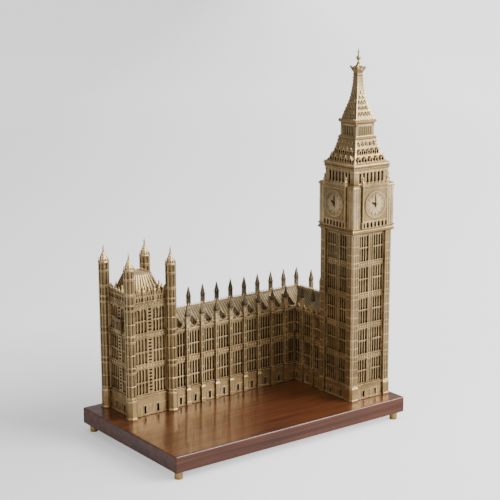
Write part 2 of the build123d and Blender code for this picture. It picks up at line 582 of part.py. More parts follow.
def tower():
    half = TOWER_SIDE / 2
    corners = {"front_left": (-1, -1), "front_right": (1, -1), "back_left": (-1, 1), "back_right": (1, 1)}
    shafts = {}
    for spot, (sx, sy) in corners.items():
        shafts[spot] = buttress(sx, sy)
        add("tower_buttress_" + spot, shafts[spot])
    posts = list(shafts.values())

    face = TOWER_SIDE - 2 * TOWER_RECESS
    inner = face - 2 * TOWER_WALL_T
    plinth = square_ring(TOWER_X, TOWER_Y, face + 3, inner, 0, TOWER_PLINTH)
    plinth = plinth + square_ring(TOWER_X, TOWER_Y, inner, 36, 0, 5)
    for sx in (-1, 1):
        for dx, wide in ((-3.6, 1.8), (1.2, 3.6)):
            x0 = TOWER_X + sx * 9.5 + dx
            front = TOWER_Y - face / 2 - 1.5
            plinth = plinth - block(x0, x0 + wide, front, front + 1.2, 1.5, 11)
    spots = screw_spots()[2:4]
    links = [(TOWER_X - inner / 2, spots[0][0], spots[0][1] - 1, spots[0][1] + 1),
             (spots[1][0], TOWER_X + inner / 2, spots[1][1] - 1, spots[1][1] + 1)]
    plinth = with_bosses(plinth, spots, links)
    add("tower_plinth", cut(plinth, posts))

    strings = [TOWER_PLINTH - 3.2] + [FIRST_STRING + STAGE * i for i in range(4)] + [TOWER_CORNICE]
    levels = [(strings[i] + 6.5, strings[i + 1] - 5.5) for i in range(5)]
    windows = [(-18.5, -2.5), (2.5, 18.5)]
    sides = {"front": ("x", TOWER_X, TOWER_Y - face / 2, -1), "back": ("x", TOWER_X, TOWER_Y + face / 2, 1),
             "left": ("y", TOWER_Y, TOWER_X - face / 2, -1), "right": ("y", TOWER_Y, TOWER_X + face / 2, 1)}
    for side, (along, mid, at, way) in sides.items():
        bays = [(mid + a, mid + b) for a, b in windows]
        ends = half if along == "x" else face / 2 - TOWER_WALL_T
        shown = levels if side != "back" else levels[2:]
        wall = wall_panel(along, mid - ends, mid + ends, at, way, TOWER_WALL_T, TOWER_PLINTH,
                          TOWER_CORNICE, bays, shown)
        add("tower_" + side + "_wall", cut(wall, posts))

    # clock stage: a hollow block with a cornice under it and a dial block standing proud of each side
    stage = square_ring(TOWER_X, TOWER_Y, CLOCK_SIDE + 2, inner, TOWER_CORNICE, TOWER_CORNICE + 3)
    stage = stage + square_ring(TOWER_X, TOWER_Y, CLOCK_SIDE, inner, TOWER_CORNICE + 3, CLOCK_TOP)
    faces = [(0, -1), (0, 1), (-1, 0), (1, 0)]
    front = CLOCK_SIDE / 2 + DIAL_BLOCK_PROUD
    seat = front - DIAL_T
    for sx, sy in faces:
        stage = stage + on_face(sx, sy, -DIAL_BLOCK_HALF, DIAL_BLOCK_HALF, front - 5, front, CLOCK_BASE, CLOCK_TOP)
        origin = (TOWER_X + sx * seat, TOWER_Y + sy * seat, DECK + DIAL_Z)
        recess = extrude(Plane(origin=origin, z_dir=(sx, sy, 0)) * Circle(DIAL_D / 2), 4)
        stage = stage - recess
    add("clock_stage", stage)

    dials = []
    hands = []
    for sx, sy in faces:
        origin = (TOWER_X + sx * seat, TOWER_Y + sy * seat, DECK + DIAL_Z)
        plane = Plane(origin=origin, x_dir=(-sy, sx, 0), z_dir=(sx, sy, 0))
        dial = extrude(plane * Circle(DIAL_D / 2 - FIT_GAP), DIAL_T)
        rim = extrude(plane * (Circle(DIAL_D / 2 - FIT_GAP) - Circle(DIAL_D / 2 - 1.8)), DIAL_T + 0.6)
        dials.append(dial + rim)
        top = plane.offset(DIAL_T)
        hub = extrude(top * Circle(1.3), 0.7)
        minute = extrude(top * Pos(0, 5.0, 0) * Rectangle(1.2, 14.0), 0.5)
        hour = extrude(top * Rot(0, 0, HOUR_HAND) * Pos(0, 3.6, 0) * Rectangle(1.6, 9.0), 0.5)
        hands.append(hub + minute + hour)
    add("dials", dials)
    add("clock_hands", hands)

    # battlement: a rail round the foot of the belfry, crenellated over each dial, with a knob at each end
    parts = [square_ring(TOWER_X, TOWER_Y, CLOCK_SIDE + 0.6, BELFRY_SIDE, CLOCK_TOP, CLOCK_TOP + 1.5)]
    for sx, sy in faces:
        ends = DIAL_BLOCK_HALF + 0.6
        parts.append(on_face(sx, sy, -ends, ends, front - 4, front + 0.6, CLOCK_TOP, CLOCK_TOP + 3))
        for i in range(-3, 4):
            parts.append(on_face(sx, sy, 6.2 * i - 1.3, 6.2 * i + 1.3, front - 2, front, CLOCK_TOP + 3,
                                 BATTLEMENT - 3))
        for way in (-1, 1):
            cx = TOWER_X + (sx * (front - 1.4) if sx else way * (DIAL_BLOCK_HALF - 0.4))
            cy = TOWER_Y + (sy * (front - 1.4) if sy else way * (DIAL_BLOCK_HALF - 0.4))
            parts.append(frustum(cx, cy, 3.0, 2.0, CLOCK_TOP + 3, BATTLEMENT + 4))
    add("battlement", fused(parts))

    # belfry arcade: tall openings on each face
    shell = square_ring(TOWER_X, TOWER_Y, BELFRY_SIDE, BELFRY_SIDE - 8, CLOCK_TOP, BELFRY_TOP)
    for i in range(-3, 4):
        mid = 6.2 * i
        slot_x = block(TOWER_X + mid - 1.4, TOWER_X + mid + 1.4, TOWER_Y - 40, TOWER_Y + 40, CLOCK_TOP + 2,
                       BELFRY_TOP - 2)
        slot_y = block(TOWER_X - 40, TOWER_X + 40, TOWER_Y + mid - 1.4, TOWER_Y + mid + 1.4, CLOCK_TOP + 2,
                       BELFRY_TOP - 2)
        shell = shell - slot_x - slot_y
    add("belfry_arcade", shell)

    # lower roof: eaves block and a hollowed slope
    eaves = square_block(TOWER_X, TOWER_Y, LOWER_EAVES_SIDE, BELFRY_TOP, LOWER_EAVES_TOP)
    low = frustum(TOWER_X, TOWER_Y, LOWER_EAVES_SIDE - 2, 43.0, LOWER_EAVES_TOP, 323.0)
    high = frustum(TOWER_X, TOWER_Y, 43.0, LANTERN_EAVES - 2, 323.0, LANTERN_BASE)
    lower = eaves + low + high - peg(TOWER_X, TOWER_Y, 8.0 + 2 * FIT_GAP, LANTERN_BASE - 6, LANTERN_BASE)
    add("lower_roof", lower)

    # small dormers in two rows on every slope
    houses = []
    for z, reach, span, count in ((314.0, 25.6, 10.5, 4), (325.5, 20.0, 9.0, 4)):
        for sx, sy in faces:
            for i in range(count):
                a = (i - (count - 1) / 2) * span
                x = TOWER_X + sx * reach + (a if sy else 0)
                y = TOWER_Y + sy * reach + (a if sx else 0)
                houses.append(frustum(x, y, 3.0, 0.8, z, z + 6.0))
    add("lower_roof_dormers", [house - nodes["lower_roof"] for house in houses])

    # lantern
    base = square_block(TOWER_X, TOWER_Y, LANTERN_EAVES, LANTERN_BASE, LANTERN_FOOT - 2)
    base = base + square_block(TOWER_X, TOWER_Y, LANTERN_SIDE + 1.6, LANTERN_FOOT - 2, LANTERN_FOOT)
    drum = square_block(TOWER_X, TOWER_Y, LANTERN_SIDE, LANTERN_FOOT, LANTERN_HEAD)
    for i in range(6):
        mid = 4.1 * (i - 2.5)
        for sx, sy in faces:
            x0 = TOWER_X + (mid - 0.9 if sy else sx * LANTERN_SIDE / 2 - 2)
            x1 = TOWER_X + (mid + 0.9 if sy else sx * LANTERN_SIDE / 2 + 2)
            y0 = TOWER_Y + (mid - 0.9 if sx else sy * LANTERN_SIDE / 2 - 2)
            y1 = TOWER_Y + (mid + 0.9 if sx else sy * LANTERN_SIDE / 2 + 2)
            drum = drum - block(x0, x1, y0, y1, LANTERN_FOOT + 1, LANTERN_HEAD - 1.5)
    top = square_block(TOWER_X, TOWER_Y, LANTERN_EAVES, LANTERN_HEAD, UPPER_FOOT)
    lantern = fused([base, drum, top, peg(TOWER_X, TOWER_Y, 8.0, LANTERN_BASE - 5.5, LANTERN_BASE)])
    add("lantern", lantern - peg(TOWER_X, TOWER_Y, 8.0 + 2 * FIT_GAP, UPPER_FOOT - 6, UPPER_FOOT))

    # upper spire, crown and finial
    spire = frustum(TOWER_X, TOWER_Y, LANTERN_SIDE - 0.4, 20.0, UPPER_FOOT, 380.6)
    spire = spire + frustum(TOWER_X, TOWER_Y, 20.0, 12.0, 380.6, 397.6)
    spire = spire + frustum(TOWER_X, TOWER_Y, 12.0, UPPER_HEAD_SIDE, 397.6, UPPER_HEAD)
    spire = spire + peg(TOWER_X, TOWER_Y, 8.0, UPPER_FOOT - 5.5, UPPER_FOOT)
    add("upper_spire", spire - peg(TOWER_X, TOWER_Y, 3.0 + 2 * FIT_GAP, UPPER_HEAD - 6, UPPER_HEAD))
    crown = frustum(TOWER_X, TOWER_Y, 11.5, 10.0, UPPER_HEAD, UPPER_HEAD + 3)
    crown = crown + frustum(TOWER_X, TOWER_Y, 8.0, 9.0, UPPER_HEAD + 3, CROWN_TOP)
    for sx, sy in corners.values():
        for k in range(3):
            reach = 4.2 + 1.1 * k
            crown = crown + square_block(TOWER_X + sx * reach, TOWER_Y + sy * reach, 2.4, UPPER_HEAD + 4 + k,
                                         CROWN_TOP - 1.5)
    crown = crown + peg(TOWER_X, TOWER_Y, 3.0, UPPER_HEAD - 5.5, UPPER_HEAD)
    add("crown", crown - peg(TOWER_X, TOWER_Y, 1.6 + 2 * FIT_GAP, CROWN_TOP - 5, CROWN_TOP))
    ball = Pos(TOWER_X, TOWER_Y, DECK + 441.5) * Sphere(2.6)
    stem = peg(TOWER_X, TOWER_Y, 1.6, CROWN_TOP - 4.5, 441.5) + peg(TOWER_X, TOWER_Y, 1.1, 441.5, TIP)
    collar = peg(TOWER_X, TOWER_Y, 4.2, 434.6, 436.2)
    arms = square_block(TOWER_X, TOWER_Y, 1.0, 449.0, 450.2)
    arms = arms + block(TOWER_X - 2.2, TOWER_X + 2.2, TOWER_Y - 0.5, TOWER_Y + 0.5, 449.2, 450.2)
    spokes = block(TOWER_X - 4.4, TOWER_X + 4.4, TOWER_Y - 0.5, TOWER_Y + 0.5, 441.0, 442.0)
    spokes = spokes + block(TOWER_X - 0.5, TOWER_X + 0.5, TOWER_Y - 4.4, TOWER_Y + 4.4, 441.0, 442.0)
    add("finial", fused([ball, stem, collar, arms, spokes]))


base_board()
feet()
deck_screws()
pavilion()
wings()
tower()

for name, shape in nodes.items():
    shape.label = name
    export_step(shape, "parts/" + name + ".step")
print(len(nodes), "nodes")
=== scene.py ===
import json
import math

import bmesh
import bpy
from mathutils import Matrix, Vector

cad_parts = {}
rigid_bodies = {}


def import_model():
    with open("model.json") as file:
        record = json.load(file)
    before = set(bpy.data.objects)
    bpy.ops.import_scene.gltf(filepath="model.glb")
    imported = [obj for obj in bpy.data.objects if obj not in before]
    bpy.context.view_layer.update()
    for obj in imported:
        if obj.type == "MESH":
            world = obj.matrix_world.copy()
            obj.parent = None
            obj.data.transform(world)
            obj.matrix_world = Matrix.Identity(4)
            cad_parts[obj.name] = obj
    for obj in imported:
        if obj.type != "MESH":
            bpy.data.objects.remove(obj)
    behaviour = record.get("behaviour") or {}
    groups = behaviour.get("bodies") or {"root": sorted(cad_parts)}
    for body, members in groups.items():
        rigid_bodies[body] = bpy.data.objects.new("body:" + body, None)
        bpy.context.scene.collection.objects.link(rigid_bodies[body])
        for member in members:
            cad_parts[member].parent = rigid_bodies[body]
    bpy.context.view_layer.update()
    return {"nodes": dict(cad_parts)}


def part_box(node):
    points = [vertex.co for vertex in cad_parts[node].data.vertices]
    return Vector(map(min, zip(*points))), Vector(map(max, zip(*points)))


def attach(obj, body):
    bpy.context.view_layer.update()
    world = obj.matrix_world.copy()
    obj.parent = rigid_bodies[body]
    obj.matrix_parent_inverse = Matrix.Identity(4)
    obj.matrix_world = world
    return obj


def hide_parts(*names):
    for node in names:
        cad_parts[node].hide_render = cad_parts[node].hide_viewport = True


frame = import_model()


# ------------------------------------------------------------ base board
# A plank of straight-grained walnut, eased all round and given a semi-gloss varnish.
# It carries every casting, and takes the foot studs and the deck screws from below.

def wire(tree, kind, links=None, **settings):
    """Add a node, set its properties, and link or set its inputs."""
    node = tree.nodes.new(kind)
    for key, value in settings.items():
        setattr(node, key, value)
    for socket, source in (links or {}).items():
        if isinstance(source, bpy.types.NodeSocket):
            tree.links.new(source, node.inputs[socket])
        else:
            node.inputs[socket].default_value = source
    return node


def effect_group(name, inputs, outputs):
    """An empty shader group with named sockets: (label, kind, value) in, (label, kind) out."""
    tree = bpy.data.node_groups.new(name, "ShaderNodeTree")
    for label, kind, value in inputs:
        socket = tree.interface.new_socket(label, in_out="INPUT", socket_type="NodeSocket" + kind)
        socket.default_value = value
    for label, kind in outputs:
        tree.interface.new_socket(label, in_out="OUTPUT", socket_type="NodeSocket" + kind)
    return tree, tree.nodes.new("NodeGroupInput").outputs, tree.nodes.new("NodeGroupOutput").inputs


def rgb(r, g, b):
    """A linear colour from a swatch read on the 0 to 255 scale."""
    return tuple((c / 255) ** 2.2 for c in (r, g, b)) + (1.0,)


def colour_mix(tree, factor, a, b, blend="MIX"):
    node = wire(tree, "ShaderNodeMix", data_type="RGBA", blend_type=blend)
    for index, value in ((0, factor), (6, a), (7, b)):
        if isinstance(value, bpy.types.NodeSocket):
            tree.links.new(value, node.inputs[index])
        else:
            node.inputs[index].default_value = value
    return node.outputs[2]


def scale_to(tree, value, low, high, to_low=0.0, to_high=1.0):
    node = wire(tree, "ShaderNodeMapRange", {"Value": value, "From Min": low, "From Max": high,
                                             "To Min": to_low, "To Max": to_high})
    return node.outputs["Result"]


grain_tree, grain_in, grain_out = effect_group(
    "timber_grain",
    [("Light", "Color", rgb(190, 130, 90)), ("Dark", "Color", rgb(90, 50, 30)), ("Fineness", "Float", 1.0)],
    [("Color", "Color"), ("Pores", "Float"), ("Height", "Float")])
place = wire(grain_tree, "ShaderNodeTexCoord").outputs["Object"]
fine = wire(grain_tree, "ShaderNodeVectorMath", {0: place, 3: grain_in["Fineness"]},
            operation="SCALE").outputs[0]
long_way = wire(grain_tree, "ShaderNodeMapping", {"Vector": fine, "Scale": (4.0, 120.0, 120.0)}).outputs[0]
figure = wire(grain_tree, "ShaderNodeTexNoise",
              {"Vector": long_way, "Scale": 1.0, "Detail": 7.0, "Roughness": 0.62, "Distortion": 0.7})
short_way = wire(grain_tree, "ShaderNodeMapping",
                 {"Vector": fine, "Scale": (26.0, 900.0, 900.0)}).outputs[0]
pores = wire(grain_tree, "ShaderNodeTexNoise", {"Vector": short_way, "Scale": 1.0, "Detail": 3.0})
cloud = wire(grain_tree, "ShaderNodeTexNoise", {"Vector": place, "Scale": 9.0, "Detail": 2.0})
base_colour = colour_mix(grain_tree, scale_to(grain_tree, figure.outputs["Fac"], 0.36, 0.66),
                         grain_in["Dark"], grain_in["Light"])
pore_mask = scale_to(grain_tree, pores.outputs["Fac"], 0.58, 0.72)
darkened = colour_mix(grain_tree, 0.55, base_colour, grain_in["Dark"])
pored = colour_mix(grain_tree, pore_mask, base_colour, darkened)
cloudy = scale_to(grain_tree, cloud.outputs["Fac"], 0.35, 0.65, 0.82, 1.12)
final = wire(grain_tree, "ShaderNodeVectorMath", {0: pored, 3: cloudy}, operation="SCALE").outputs[0]
grain_tree.links.new(final, grain_out["Color"])
grain_tree.links.new(pore_mask, grain_out["Pores"])
grain_tree.links.new(scale_to(grain_tree, pores.outputs["Fac"], 0.3, 0.7), grain_out["Height"])


def new_material(name):
    material = bpy.data.materials.new(name)
    material.use_nodes = True
    tree = material.node_tree
    return material, tree, tree.nodes["Principled BSDF"]


varnished_walnut, tree, shader = new_material("varnished_walnut")
grain = wire(tree, "ShaderNodeGroup", node_tree=grain_tree)
grain.inputs["Light"].default_value = rgb(112, 64, 38)
grain.inputs["Dark"].default_value = rgb(70, 36, 20)
tree.links.new(grain.outputs["Color"], shader.inputs["Base Color"])
tree.links.new(scale_to(tree, grain.outputs["Pores"], 0, 1, 0.38, 0.6), shader.inputs["Roughness"])
bump = wire(tree, "ShaderNodeBump", {"Height": grain.outputs["Height"], "Strength": 0.12,
                                     "Distance": 0.0002})
tree.links.new(bump.outputs[0], shader.inputs["Normal"])
shader.inputs["Coat Weight"].default_value = 0.7
shader.inputs["Coat Roughness"].default_value = 0.14
shader.inputs["Coat IOR"].default_value = 1.5


def finish_node(node, material):
    """Give a CAD piece that keeps its own shape its real finish."""
    piece = frame["nodes"][node]
    piece.data.materials.clear()
    piece.data.materials.append(material)


finish_node("base_board", varnished_walnut)


# ------------------------------------------------------------ feet
# Four short brass pillars, turned and polished, each screwed into the board by its stud.
# They keep their turned shapes and take a brass finish.

# Shared metal look. An occlusion test paints shade into recesses within Depth, darkening them towards the
# recess colour, which also stands for dark patina. An inside occlusion test paints a bright highlight along
# edges, partly rubbed wear. Noise adds random tone and fine bumps.
patina_light_tree, patina_light_in, patina_light_out = effect_group(
    "cast_patina_painted_light",
    [("Bright", "Color", rgb(232, 202, 150)), ("Body", "Color", rgb(168, 132, 84)),
     ("Recess_Shade_Patina", "Color", rgb(52, 36, 16)), ("Depth", "Float", 0.003), ("Rub_Highlight", "Float", 0.8)],
    [("Color", "Color"), ("Roughness", "Float"), ("Height", "Float")])
place = wire(patina_light_tree, "ShaderNodeTexCoord").outputs["Object"]
hollow_shade = wire(patina_light_tree, "ShaderNodeAmbientOcclusion", {"Distance": patina_light_in["Depth"]}, samples=6)
ridge = wire(patina_light_tree, "ShaderNodeAmbientOcclusion", {"Distance": 0.0007}, samples=5, inside=True)
mottle = wire(patina_light_tree, "ShaderNodeTexNoise", {"Vector": place, "Scale": 210.0, "Detail": 5.0,
                                                "Roughness": 0.6})
blotch = wire(patina_light_tree, "ShaderNodeTexNoise", {"Vector": place, "Scale": 38.0, "Detail": 3.0})
grit = wire(patina_light_tree, "ShaderNodeTexNoise", {"Vector": place, "Scale": 1400.0, "Detail": 2.0})
# Painted shade: darker where the occlusion test finds nearby surfaces, in recesses and between parts.
unshaded_mask = scale_to(patina_light_tree, hollow_shade.outputs["AO"], 0.32, 0.9)
uneven = scale_to(patina_light_tree, mottle.outputs["Fac"], 0.3, 0.7, -0.16, 0.16)
shifted = wire(patina_light_tree, "ShaderNodeMath", {0: unshaded_mask, 1: uneven}, operation="ADD",
               use_clamp=True).outputs[0]
shade_toned = colour_mix(patina_light_tree, shifted, patina_light_in["Recess_Shade_Patina"], patina_light_in["Body"])
# Painted highlight along convex edges, standing also for rubbed wear.
highlight_rub = scale_to(patina_light_tree, ridge.outputs["AO"], 0.98, 0.55, 0.0, 1.0)
patchy = scale_to(patina_light_tree, blotch.outputs["Fac"], 0.35, 0.65, 0.55, 1.0)
amount = wire(patina_light_tree, "ShaderNodeMath", {0: highlight_rub, 1: patchy}, operation="MULTIPLY").outputs[0]
amount = wire(patina_light_tree, "ShaderNodeMath", {0: amount, 1: patina_light_in["Rub_Highlight"]}, operation="MULTIPLY",
              use_clamp=True)
amount = wire(patina_light_tree, "ShaderNodeMath", {0: amount.outputs[0], 1: shifted},
              operation="MULTIPLY").outputs[0]
lit = colour_mix(patina_light_tree, amount, shade_toned, patina_light_in["Bright"])
shade = scale_to(patina_light_tree, blotch.outputs["Fac"], 0.3, 0.7, 0.88, 1.1)
final = wire(patina_light_tree, "ShaderNodeVectorMath", {0: lit, 3: shade}, operation="SCALE").outputs[0]
patina_light_tree.links.new(final, patina_light_out["Color"])
rough = scale_to(patina_light_tree, shifted, 0.0, 1.0, 0.78, 0.42)
patina_light_tree.links.new(rough, patina_light_out["Roughness"])
patina_light_tree.links.new(grit.outputs["Fac"], patina_light_out["Height"])


def cast_metal(name, bright, body, recess, depth, rub, metallic, grain_height):
    """A cast or turned metal with painted shade, and dark patina, in its recesses (recess colour) and
    painted highlights on its rubbed edges (bright colour).
    """
    material, tree, shader = new_material(name)
    patina_light = wire(tree, "ShaderNodeGroup", node_tree=patina_light_tree)
    patina_light.inputs["Bright"].default_value = bright
    patina_light.inputs["Body"].default_value = body
    patina_light.inputs["Recess_Shade_Patina"].default_value = recess
    patina_light.inputs["Depth"].default_value = depth
    patina_light.inputs["Rub_Highlight"].default_value = rub
    tree.links.new(patina_light.outputs["Color"], shader.inputs["Base Color"])
    tree.links.new(patina_light.outputs["Roughness"], shader.inputs["Roughness"])
    bump = wire(tree, "ShaderNodeBump", {"Height": patina_light.outputs["Height"], "Strength": 0.35,
                                         "Distance": grain_height})
    tree.links.new(bump.outputs[0], shader.inputs["Normal"])
    shader.inputs["Metallic"].default_value = metallic
    return material


# Colours: painted edge highlight, metal body, painted recess shade with patina.
turned_brass = cast_metal("turned_brass", rgb(250, 224, 170), rgb(226, 186, 118), rgb(120, 84, 40),
                          0.004, 0.6, 1.0, 0.00002)
for spot in ("front_left", "front_right", "back_left", "back_right"):
    finish_node("foot_" + spot, turned_brass)


# ------------------------------------------------------------ deck screws
# Steel machine screws, let in flush under the board and run up into the castings' bosses.
# They keep their shapes and take a steel finish.

# Colours: painted edge highlight, metal body, painted recess shade.
screw_steel = cast_metal("screw_steel", rgb(215, 215, 220), rgb(160, 160, 165), rgb(60, 60, 64), 0.003, 0.5,
                         1.0, 0.00002)
finish_node("deck_screws", screw_steel)


# ------------------------------------------------------------ pavilion plinth
# The solid-looking foot of the corner pavilion: an open cast box with a stepped base moulding,
# a string along its top and small doors. Screwed to the board from below.

MM = 0.001


def mm_box(node):
    low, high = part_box(node)
    return low / MM, high / MM


deck = mm_box("base_board")[1].z
# Colours: painted edge highlight, metal body, painted recess shade with patina.
antique_brass = cast_metal("antique_brass", rgb(244, 216, 166), rgb(182, 151, 104), rgb(44, 34, 19),
                           0.0038, 1.0, 0.85, 0.00005)


class Mold:
    """Closed shapes gathered into one casting, in millimetres, with heights above the deck."""

    def __init__(self):
        self.points = []
        self.faces = []

    def loft(self, rings):
        """Rings with equal counts, joined in order and capped."""
        base = len(self.points)
        count = len(rings[0])
        for ring in rings:
            self.points.extend(ring)
        for level in range(len(rings) - 1):
            low = base + level * count
            for i in range(count):
                j = (i + 1) % count
                self.faces.append((low + i, low + j, low + count + j, low + count + i))
        self.faces.append(tuple(base + i for i in reversed(range(count))))
        self.faces.append(tuple(base + (len(rings) - 1) * count + i for i in range(count)))

    def add(self, other, turn=0, at=(0.0, 0.0)):
        """Take in another set of shapes, turned by quarters and then moved."""
        c, s = ((1, 0), (0, 1), (-1, 0), (0, -1))[turn % 4]
        base = len(self.points)
        self.points += [(x * c - y * s + at[0], x * s + y * c + at[1], z) for x, y, z in other.points]
        self.faces += [tuple(base + i for i in face) for face in other.faces]

    def stack(self, levels):
        """Rectangles (x0, x1, y0, y1, z) joined upward."""
        self.loft([[(a, c, z), (b, c, z), (b, d, z), (a, d, z)] for a, b, c, d, z in levels])

    def mitre(self, inner, levels):
        """A quarter of a square frame, mitred at both ends: (half side, z) levels up its -Y face."""
        self.loft([[(-h, -h, z), (h, -h, z), (inner, -inner, z), (-inner, -inner, z)] for h, z in levels])

    def box(self, x0, x1, y0, y1, z0, z1):
        self.loft([[(x0, y0, z), (x1, y0, z), (x1, y1, z), (x0, y1, z)] for z in (z0, z1)])

    def plate(self, outline, y0, y1):
        """An (x, z) outline with a thickness from y0 to y1."""
        self.loft([[(x, y, z) for x, z in outline] for y in (y1, y0)])

    def moulding(self, x0, x1, y, z, tall, proud):
        """A string course along X on a face that looks to -Y: weathered above, undercut below."""
        section = [(0.3, -tall / 2), (-proud * 0.6, -tall / 2), (-proud, -tall / 6), (-proud, tall / 5),
                   (0.3, tall / 2)]
        self.loft([[(x, y + dy, z + dz) for dy, dz in section] for x in (x0, x1)])

    def polygon_stack(self, cx, cy, sides, levels, turn=0.0):
        """A regular-sided shape from (across flats, height) levels."""
        rings = []
        for across, z in levels:
            radius = across / 2 / math.cos(math.pi / sides)
            rings.append([(cx + radius * math.cos(turn + math.tau * (i + 0.5) / sides),
                           cy + radius * math.sin(turn + math.tau * (i + 0.5) / sides), z)
                          for i in range(sides)])
        self.loft(rings)

    def light(self, a, b, z0, z1, y0, y1, rise=None):
        """The head of one window light: a plate with a pointed arch cut up into it."""
        w = b - a
        rise = rise or 0.8 * w
        spring = z1 - rise - 0.25 * w
        m = (a + b) / 2
        outline = [(a, spring), (a, z1), (b, z1), (b, spring), (b - 0.07 * w, spring + 0.35 * rise),
                   (b - 0.24 * w, spring + 0.72 * rise), (m, spring + rise),
                   (a + 0.24 * w, spring + 0.72 * rise), (a + 0.07 * w, spring + 0.35 * rise)]
        self.plate(outline, y0, y1)

    def window(self, x0, x1, z0, z1, lights, transoms, y_bars, y_back, bar=0.8):
        """Mullions, transoms and arched heads, in front of a pane at y_back."""
        pitch = (x1 - x0) / lights
        for i in range(lights + 1):
            x = x0 + i * pitch
            self.box(x - bar / 2, x + bar / 2, y_bars, y_back, z0, z1)
        tops = list(transoms) + [z1]
        for top in tops:
            for i in range(lights):
                a = x0 + i * pitch + bar / 2
                self.light(a, a + pitch - bar, z0, top, y_bars + 0.35, y_back)
        for z in transoms:
            self.moulding(x0, x1, y_bars + 0.1, z, 1.1, 0.35)

    def mesh(self, name):
        data = bpy.data.meshes.new(name)
        data.from_pydata([(x * MM, y * MM, (z + deck) * MM) for x, y, z in self.points], [], self.faces)
        made = bmesh.new()
        made.from_mesh(data)
        bmesh.ops.recalc_face_normals(made, faces=made.faces)
        made.to_mesh(data)
        made.free()
        return data


def geometry_tree(name, inputs):
    tree = bpy.data.node_groups.new(name, "GeometryNodeTree")
    tree.interface.new_socket("Geometry", in_out="INPUT", socket_type="NodeSocketGeometry")
    for label, kind in inputs:
        tree.interface.new_socket(label, in_out="INPUT", socket_type="NodeSocket" + kind)
    tree.interface.new_socket("Geometry", in_out="OUTPUT", socket_type="NodeSocketGeometry")
    return tree, tree.nodes.new("NodeGroupInput").outputs, tree.nodes.new("NodeGroupOutput").inputs


def end_tree(tree, source, given, out, keep_own):
    """Join the copies to the piece's own shape, make them real and set the finish."""
    join = wire(tree, "GeometryNodeJoinGeometry")
    tree.links.new(source, join.inputs[0])
    if keep_own:
        tree.links.new(given["Geometry"], join.inputs[0])
    real = wire(tree, "GeometryNodeRealizeInstances", {"Geometry": join.outputs[0]})
    final = wire(tree, "GeometryNodeSetMaterial", {"Geometry": real.outputs[0],
                                                   "Material": given["Finish"]})
    tree.links.new(final.outputs[0], out["Geometry"])


# copies of a detail in a straight row
row_tree, given, out = geometry_tree("row_of_details", [("Detail", "Object"), ("First", "Vector"),
                                                        ("Step", "Vector"), ("Count", "Int"),
                                                        ("Finish", "Material")])
line = wire(row_tree, "GeometryNodeMeshLine", {"Count": given["Count"], "Start Location": given["First"],
                                               "Offset": given["Step"]})
detail = wire(row_tree, "GeometryNodeObjectInfo", {"Object": given["Detail"]})
copies = wire(row_tree, "GeometryNodeInstanceOnPoints", {"Points": line.outputs[0],
                                                         "Instance": detail.outputs["Geometry"]})
end_tree(row_tree, copies.outputs[0], given, out, True)

# the piece itself, copied to four sides about an upright axis
sides_tree, given, out = geometry_tree("four_sides", [("Centre", "Vector"), ("Finish", "Material")])
spots = wire(sides_tree, "GeometryNodeMeshLine", {"Count": 4, "Start Location": given["Centre"],
                                                  "Offset": (0, 0, 0)})
quarter = wire(sides_tree, "ShaderNodeMath", {0: wire(sides_tree, "GeometryNodeInputIndex").outputs[0],
                                              1: math.pi / 2}, operation="MULTIPLY")
turn = wire(sides_tree, "ShaderNodeCombineXYZ", {"Z": quarter.outputs[0]})
away = wire(sides_tree, "ShaderNodeVectorMath", {0: given["Centre"], 3: -1.0}, operation="SCALE")
centred = wire(sides_tree, "GeometryNodeTransform", {"Geometry": given["Geometry"],
                                                     "Translation": away.outputs[0]})
copies = wire(sides_tree, "GeometryNodeInstanceOnPoints", {"Points": spots.outputs[0],
                                                           "Instance": centred.outputs[0],
                                                           "Rotation": turn.outputs[0]})
end_tree(sides_tree, copies.outputs[0], given, out, False)


def set_inputs(modifier, values):
    for item in modifier.node_group.interface.items_tree:
        if item.item_type == "SOCKET" and item.in_out == "INPUT" and item.name in values:
            modifier[item.identifier] = values[item.name]


def lone_detail(name, mesh_name, detail):
    """A detail on its own, its foot at zero, for the trees to copy."""
    lone = bpy.data.objects.new(name, detail.mesh(mesh_name))
    for vertex in lone.data.vertices:
        vertex.co.z -= deck * MM
    bpy.context.scene.collection.objects.link(lone)
    return lone


def cast(name, mold, nodes, rows=(), four=None, turn=0, at=(0.0, 0.0), finish=antique_brass):
    """Finish one casting. rows: (detail, (x, y, z) of the first, (dx, dy, dz), count); four: centre
    to copy about; turn: quarter turns; at: where the local origin goes. Then it rides, and stands
    for its CAD nodes."""
    scene = bpy.context.scene.collection.objects
    piece = bpy.data.objects.new(name, mold.mesh(name))
    piece.data.materials.append(finish)
    scene.link(piece)
    details = []
    for number, (detail, first, step, count) in enumerate(rows):
        lone = lone_detail(name + "_detail_" + str(number), name + "_detail", detail)
        details.append(lone)
        modifier = piece.modifiers.new("row", "NODES")
        modifier.node_group = row_tree
        first = (first[0], first[1], first[2] + deck)
        set_inputs(modifier, {"Detail": lone, "First": tuple(c * MM for c in first),
                              "Step": tuple(float(c) * MM for c in step), "Count": count, "Finish": finish})
    if four:
        modifier = piece.modifiers.new("sides", "NODES")
        modifier.node_group = sides_tree
        set_inputs(modifier, {"Centre": (four[0] * MM, four[1] * MM, 0.0), "Finish": finish})
    evaluated = piece.evaluated_get(bpy.context.evaluated_depsgraph_get())
    solid = bpy.data.meshes.new_from_object(evaluated)
    spin = Matrix.Rotation(turn * math.pi / 2, 4, "Z")
    solid.transform(Matrix.Translation((at[0] * MM, at[1] * MM, 0)) @ spin)
    piece.modifiers.clear()
    piece.data = solid
    for lone in details:
        bpy.data.objects.remove(lone)
    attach(piece, "root")
    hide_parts(*nodes)
    return piece


